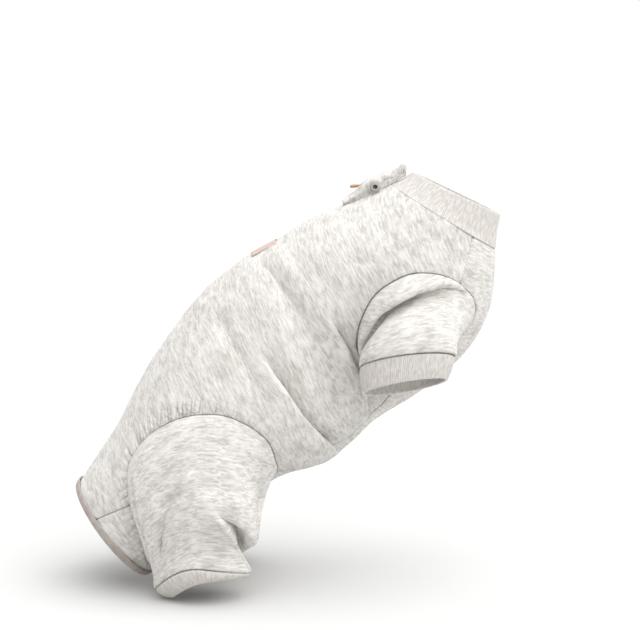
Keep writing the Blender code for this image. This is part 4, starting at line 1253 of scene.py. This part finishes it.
def neck_tab():
    """The folded tab at the back of the neck."""
    long, wide = TAB_CLOTH
    table = np.array(TAB, float)
    shape = bmesh.new()
    bmesh.ops.create_grid(shape, x_segments=60, y_segments=40, size=0.5)
    lay_uv(shape, lambda place: (place.y * wide, place.x * long))
    flat = np.array([v.co[:2] for v in shape.verts]) + 0.5
    even = np.linspace(0, 1, len(TAB))
    x = np.interp(flat[:, 0], even, table[:, 0])
    table[:, 0] = even
    base, height, half_width, lip = smooth_rows(table, flat[:, 0]).T
    angle = math.pi * flat[:, 1]
    foot = base - half_width**2 / (2 * BACK_RADIUS) + lip * np.maximum(0.0, np.cos(angle))
    z = foot + (base + height - foot) * np.sin(angle).clip(0, 1) ** TAB_POWER
    least, more = TAB_TUCK
    near = (least + more * ease(x, *TAB_TUCK_GROWS)) * np.exp(-((angle / TAB_TUCK_ANGLE) ** 2))
    far = TAB_FAR_TUCK * np.exp(-(((math.pi - angle) / TAB_FAR_ANGLE) ** 2))
    points = np.column_stack((x, -half_width * (np.cos(angle) - near + far), z))
    places = flat * TAB_CLOTH
    push = ripples(places, TAB_RIPPLES)
    push += crease_push(places, [(fold.line, fold) for fold in TAB_CREASES])[0]
    push *= ease(flat[:, 1], 0.0, TAB_EDGE) * ease(1.0 - flat[:, 1], 0.0, TAB_EDGE)
    outward = unit(np.column_stack((0 * x, -np.cos(angle), np.sin(angle))))
    move_to(shape, points + push[:, None] * outward)
    bmesh.ops.reverse_faces(shape, faces=shape.faces[:])
    finish_piece("neck_tab", shape, "heather_fleece", TAB_WALL)


def tab_snap():
    """The press stud on the right side of the tab: a turned disc with a socket."""
    shape = bmesh.new()
    verts = [shape.verts.new((radius, 0, height)) for radius, height in SNAP_PROFILE]
    edges = [shape.edges.new(pair) for pair in zip(verts[:-1], verts[1:])]
    bmesh.ops.spin(shape, geom=verts + edges, axis=(0, 0, 1), cent=(0, 0, 0), angle=math.tau,
                   steps=40, use_merge=True)
    bmesh.ops.remove_doubles(shape, verts=shape.verts[:], dist=0.01)
    bmesh.ops.recalc_face_normals(shape, faces=shape.faces[:])
    groove = shape.verts.layers.float.new("groove")
    radius, least = SNAP_SOCKET
    for vert in shape.verts:
        vert[groove] = float(vert.co.xy.length < radius and vert.co.z > least)
    turn = Matrix.Rotation(math.radians(SNAP_TILT), 4, "X")
    place = Matrix.Translation(SNAP_CENTRE) @ turn
    bmesh.ops.transform(shape, matrix=place, verts=shape.verts[:])
    finish_piece("tab_snap", shape, "snap_stud")


def leather_tip():
    """A thin stem that widens into a small leather tip behind the tab."""
    at = np.linspace(0, 1, TIP_STEPS)
    angle = math.tau * np.arange(TIP_STEPS) / TIP_STEPS
    rings = []
    for place, (wide, high) in zip(smooth_rows(TIP_LINE, at), smooth_rows(TIP_SIZES, at)):
        oval = np.stack((0 * angle, wide * np.cos(angle), high * np.sin(angle)), axis=-1)
        rings.append(place + oval)
    shape = tube_shape(np.array(rings), *TIP_CLOTH)
    bmesh.ops.holes_fill(shape, edges=[e for e in shape.edges if e.is_boundary], sides=0)
    bmesh.ops.recalc_face_normals(shape, faces=shape.faces[:])
    finish_piece("leather_tip", shape, "tan_leather")


# ---- make the suit
trunk_panel("back_panel", belly=False)
trunk_panel("chest_belly_panel", belly=True)

front_at = sleeve_courses(FRONT_ROWS)
leg_at = sleeve_courses(LEG_ROWS)
front_rings = front_sleeve_rings(FRONT_HOLE, front_at)
leg_rings = hind_leg_rings(HIND_HOLE, leg_at)
for hand, left in SIDES:
    sleeve_piece("front_sleeve_" + hand, FRONT_HOLE, front_rings, front_at, FRONT_CREASES,
                 FRONT_CLOTH, left)
    sleeve_piece("hind_leg_" + hand, HIND_HOLE, leg_rings, leg_at, LEG_CREASES, LEG_CLOTH, left)
for hand, left in SIDES:
    rib_band("front_cuff_" + hand, *cuff_rings(FRONT_HEM, FRONT_CUFF_END), FRONT_CUFF_SWELL, left)
    rib_band("hind_cuff_" + hand, *cuff_rings(HIND_HEM, HIND_CUFF_END), HIND_CUFF_SWELL, left)
collar()
rear_binding()
back_label()
neck_tab()
tab_snap()
leather_tip()


# ---- stage, light and camera
def stage():
    """A plain pale floor, out to the horizon."""
    shape = bmesh.new()
    bmesh.ops.create_grid(shape, x_segments=1, y_segments=1, size=FLOOR_HALF)
    bmesh.ops.translate(shape, vec=(0, 0, cad_box[0][2] - FLOOR_GAP), verts=shape.verts[:])
    paper, _ = new_material("matt_white_paper", {
        "Roughness": 0.9, "Specular IOR Level": 0.2, "Base Color": paint("CECECD")})
    as_object("floor", shape, paper)


def studio():
    """A white room, dimmer in front of the suit and brighter overhead, with one soft lamp."""
    world = bpy.data.worlds.new("white_room")
    world.use_nodes = True
    tree = world.node_tree
    way = add(tree, "TexCoord").outputs["Generated"]
    part = add(tree, "SeparateXYZ", links={0: way})
    wall = add(tree, "MapRange",
               {"From Min": -0.7, "From Max": 0.1, "To Min": WALL, "To Max": 1.0},
               {"Value": part.outputs["Y"]})
    ceiling = add(tree, "MapRange",
                  {"From Min": 0.3, "From Max": 0.9, "To Min": 0.0, "To Max": SKY},
                  {"Value": part.outputs["Z"]})
    dim = add(tree, "Math", {"operation": "ADD"}, {0: wall.outputs[0], 1: ceiling.outputs[0]})
    background = tree.nodes["Background"]
    background.inputs["Color"].default_value = (1, 1, 1, 1)
    tree.links.new(dim.outputs[0], background.inputs["Strength"])
    bpy.context.scene.world = world
    lamp = bpy.data.lights.new("key", "SUN")
    lamp.angle = math.radians(KEY_SPREAD)
    lamp.energy = KEY_STRENGTH
    in_scene("key", lamp).rotation_euler = Vector(KEY_WAY).to_track_quat("Z", "Y").to_euler()


def camera():
    """A long lens on the suit's right side, a little above its middle."""
    lens = bpy.data.cameras.new("camera")
    lens.lens = FOCAL_LENGTH
    lens.sensor_width = 36.0
    eye = in_scene("camera", lens)
    eye.location = STAND
    eye.rotation_euler = (Vector(AIM) - Vector(STAND)).to_track_quat("-Z", "Y").to_euler()
    bpy.context.scene.camera = eye


stage()
studio()
camera()
bpy.context.scene.view_settings.view_transform = "Standard"
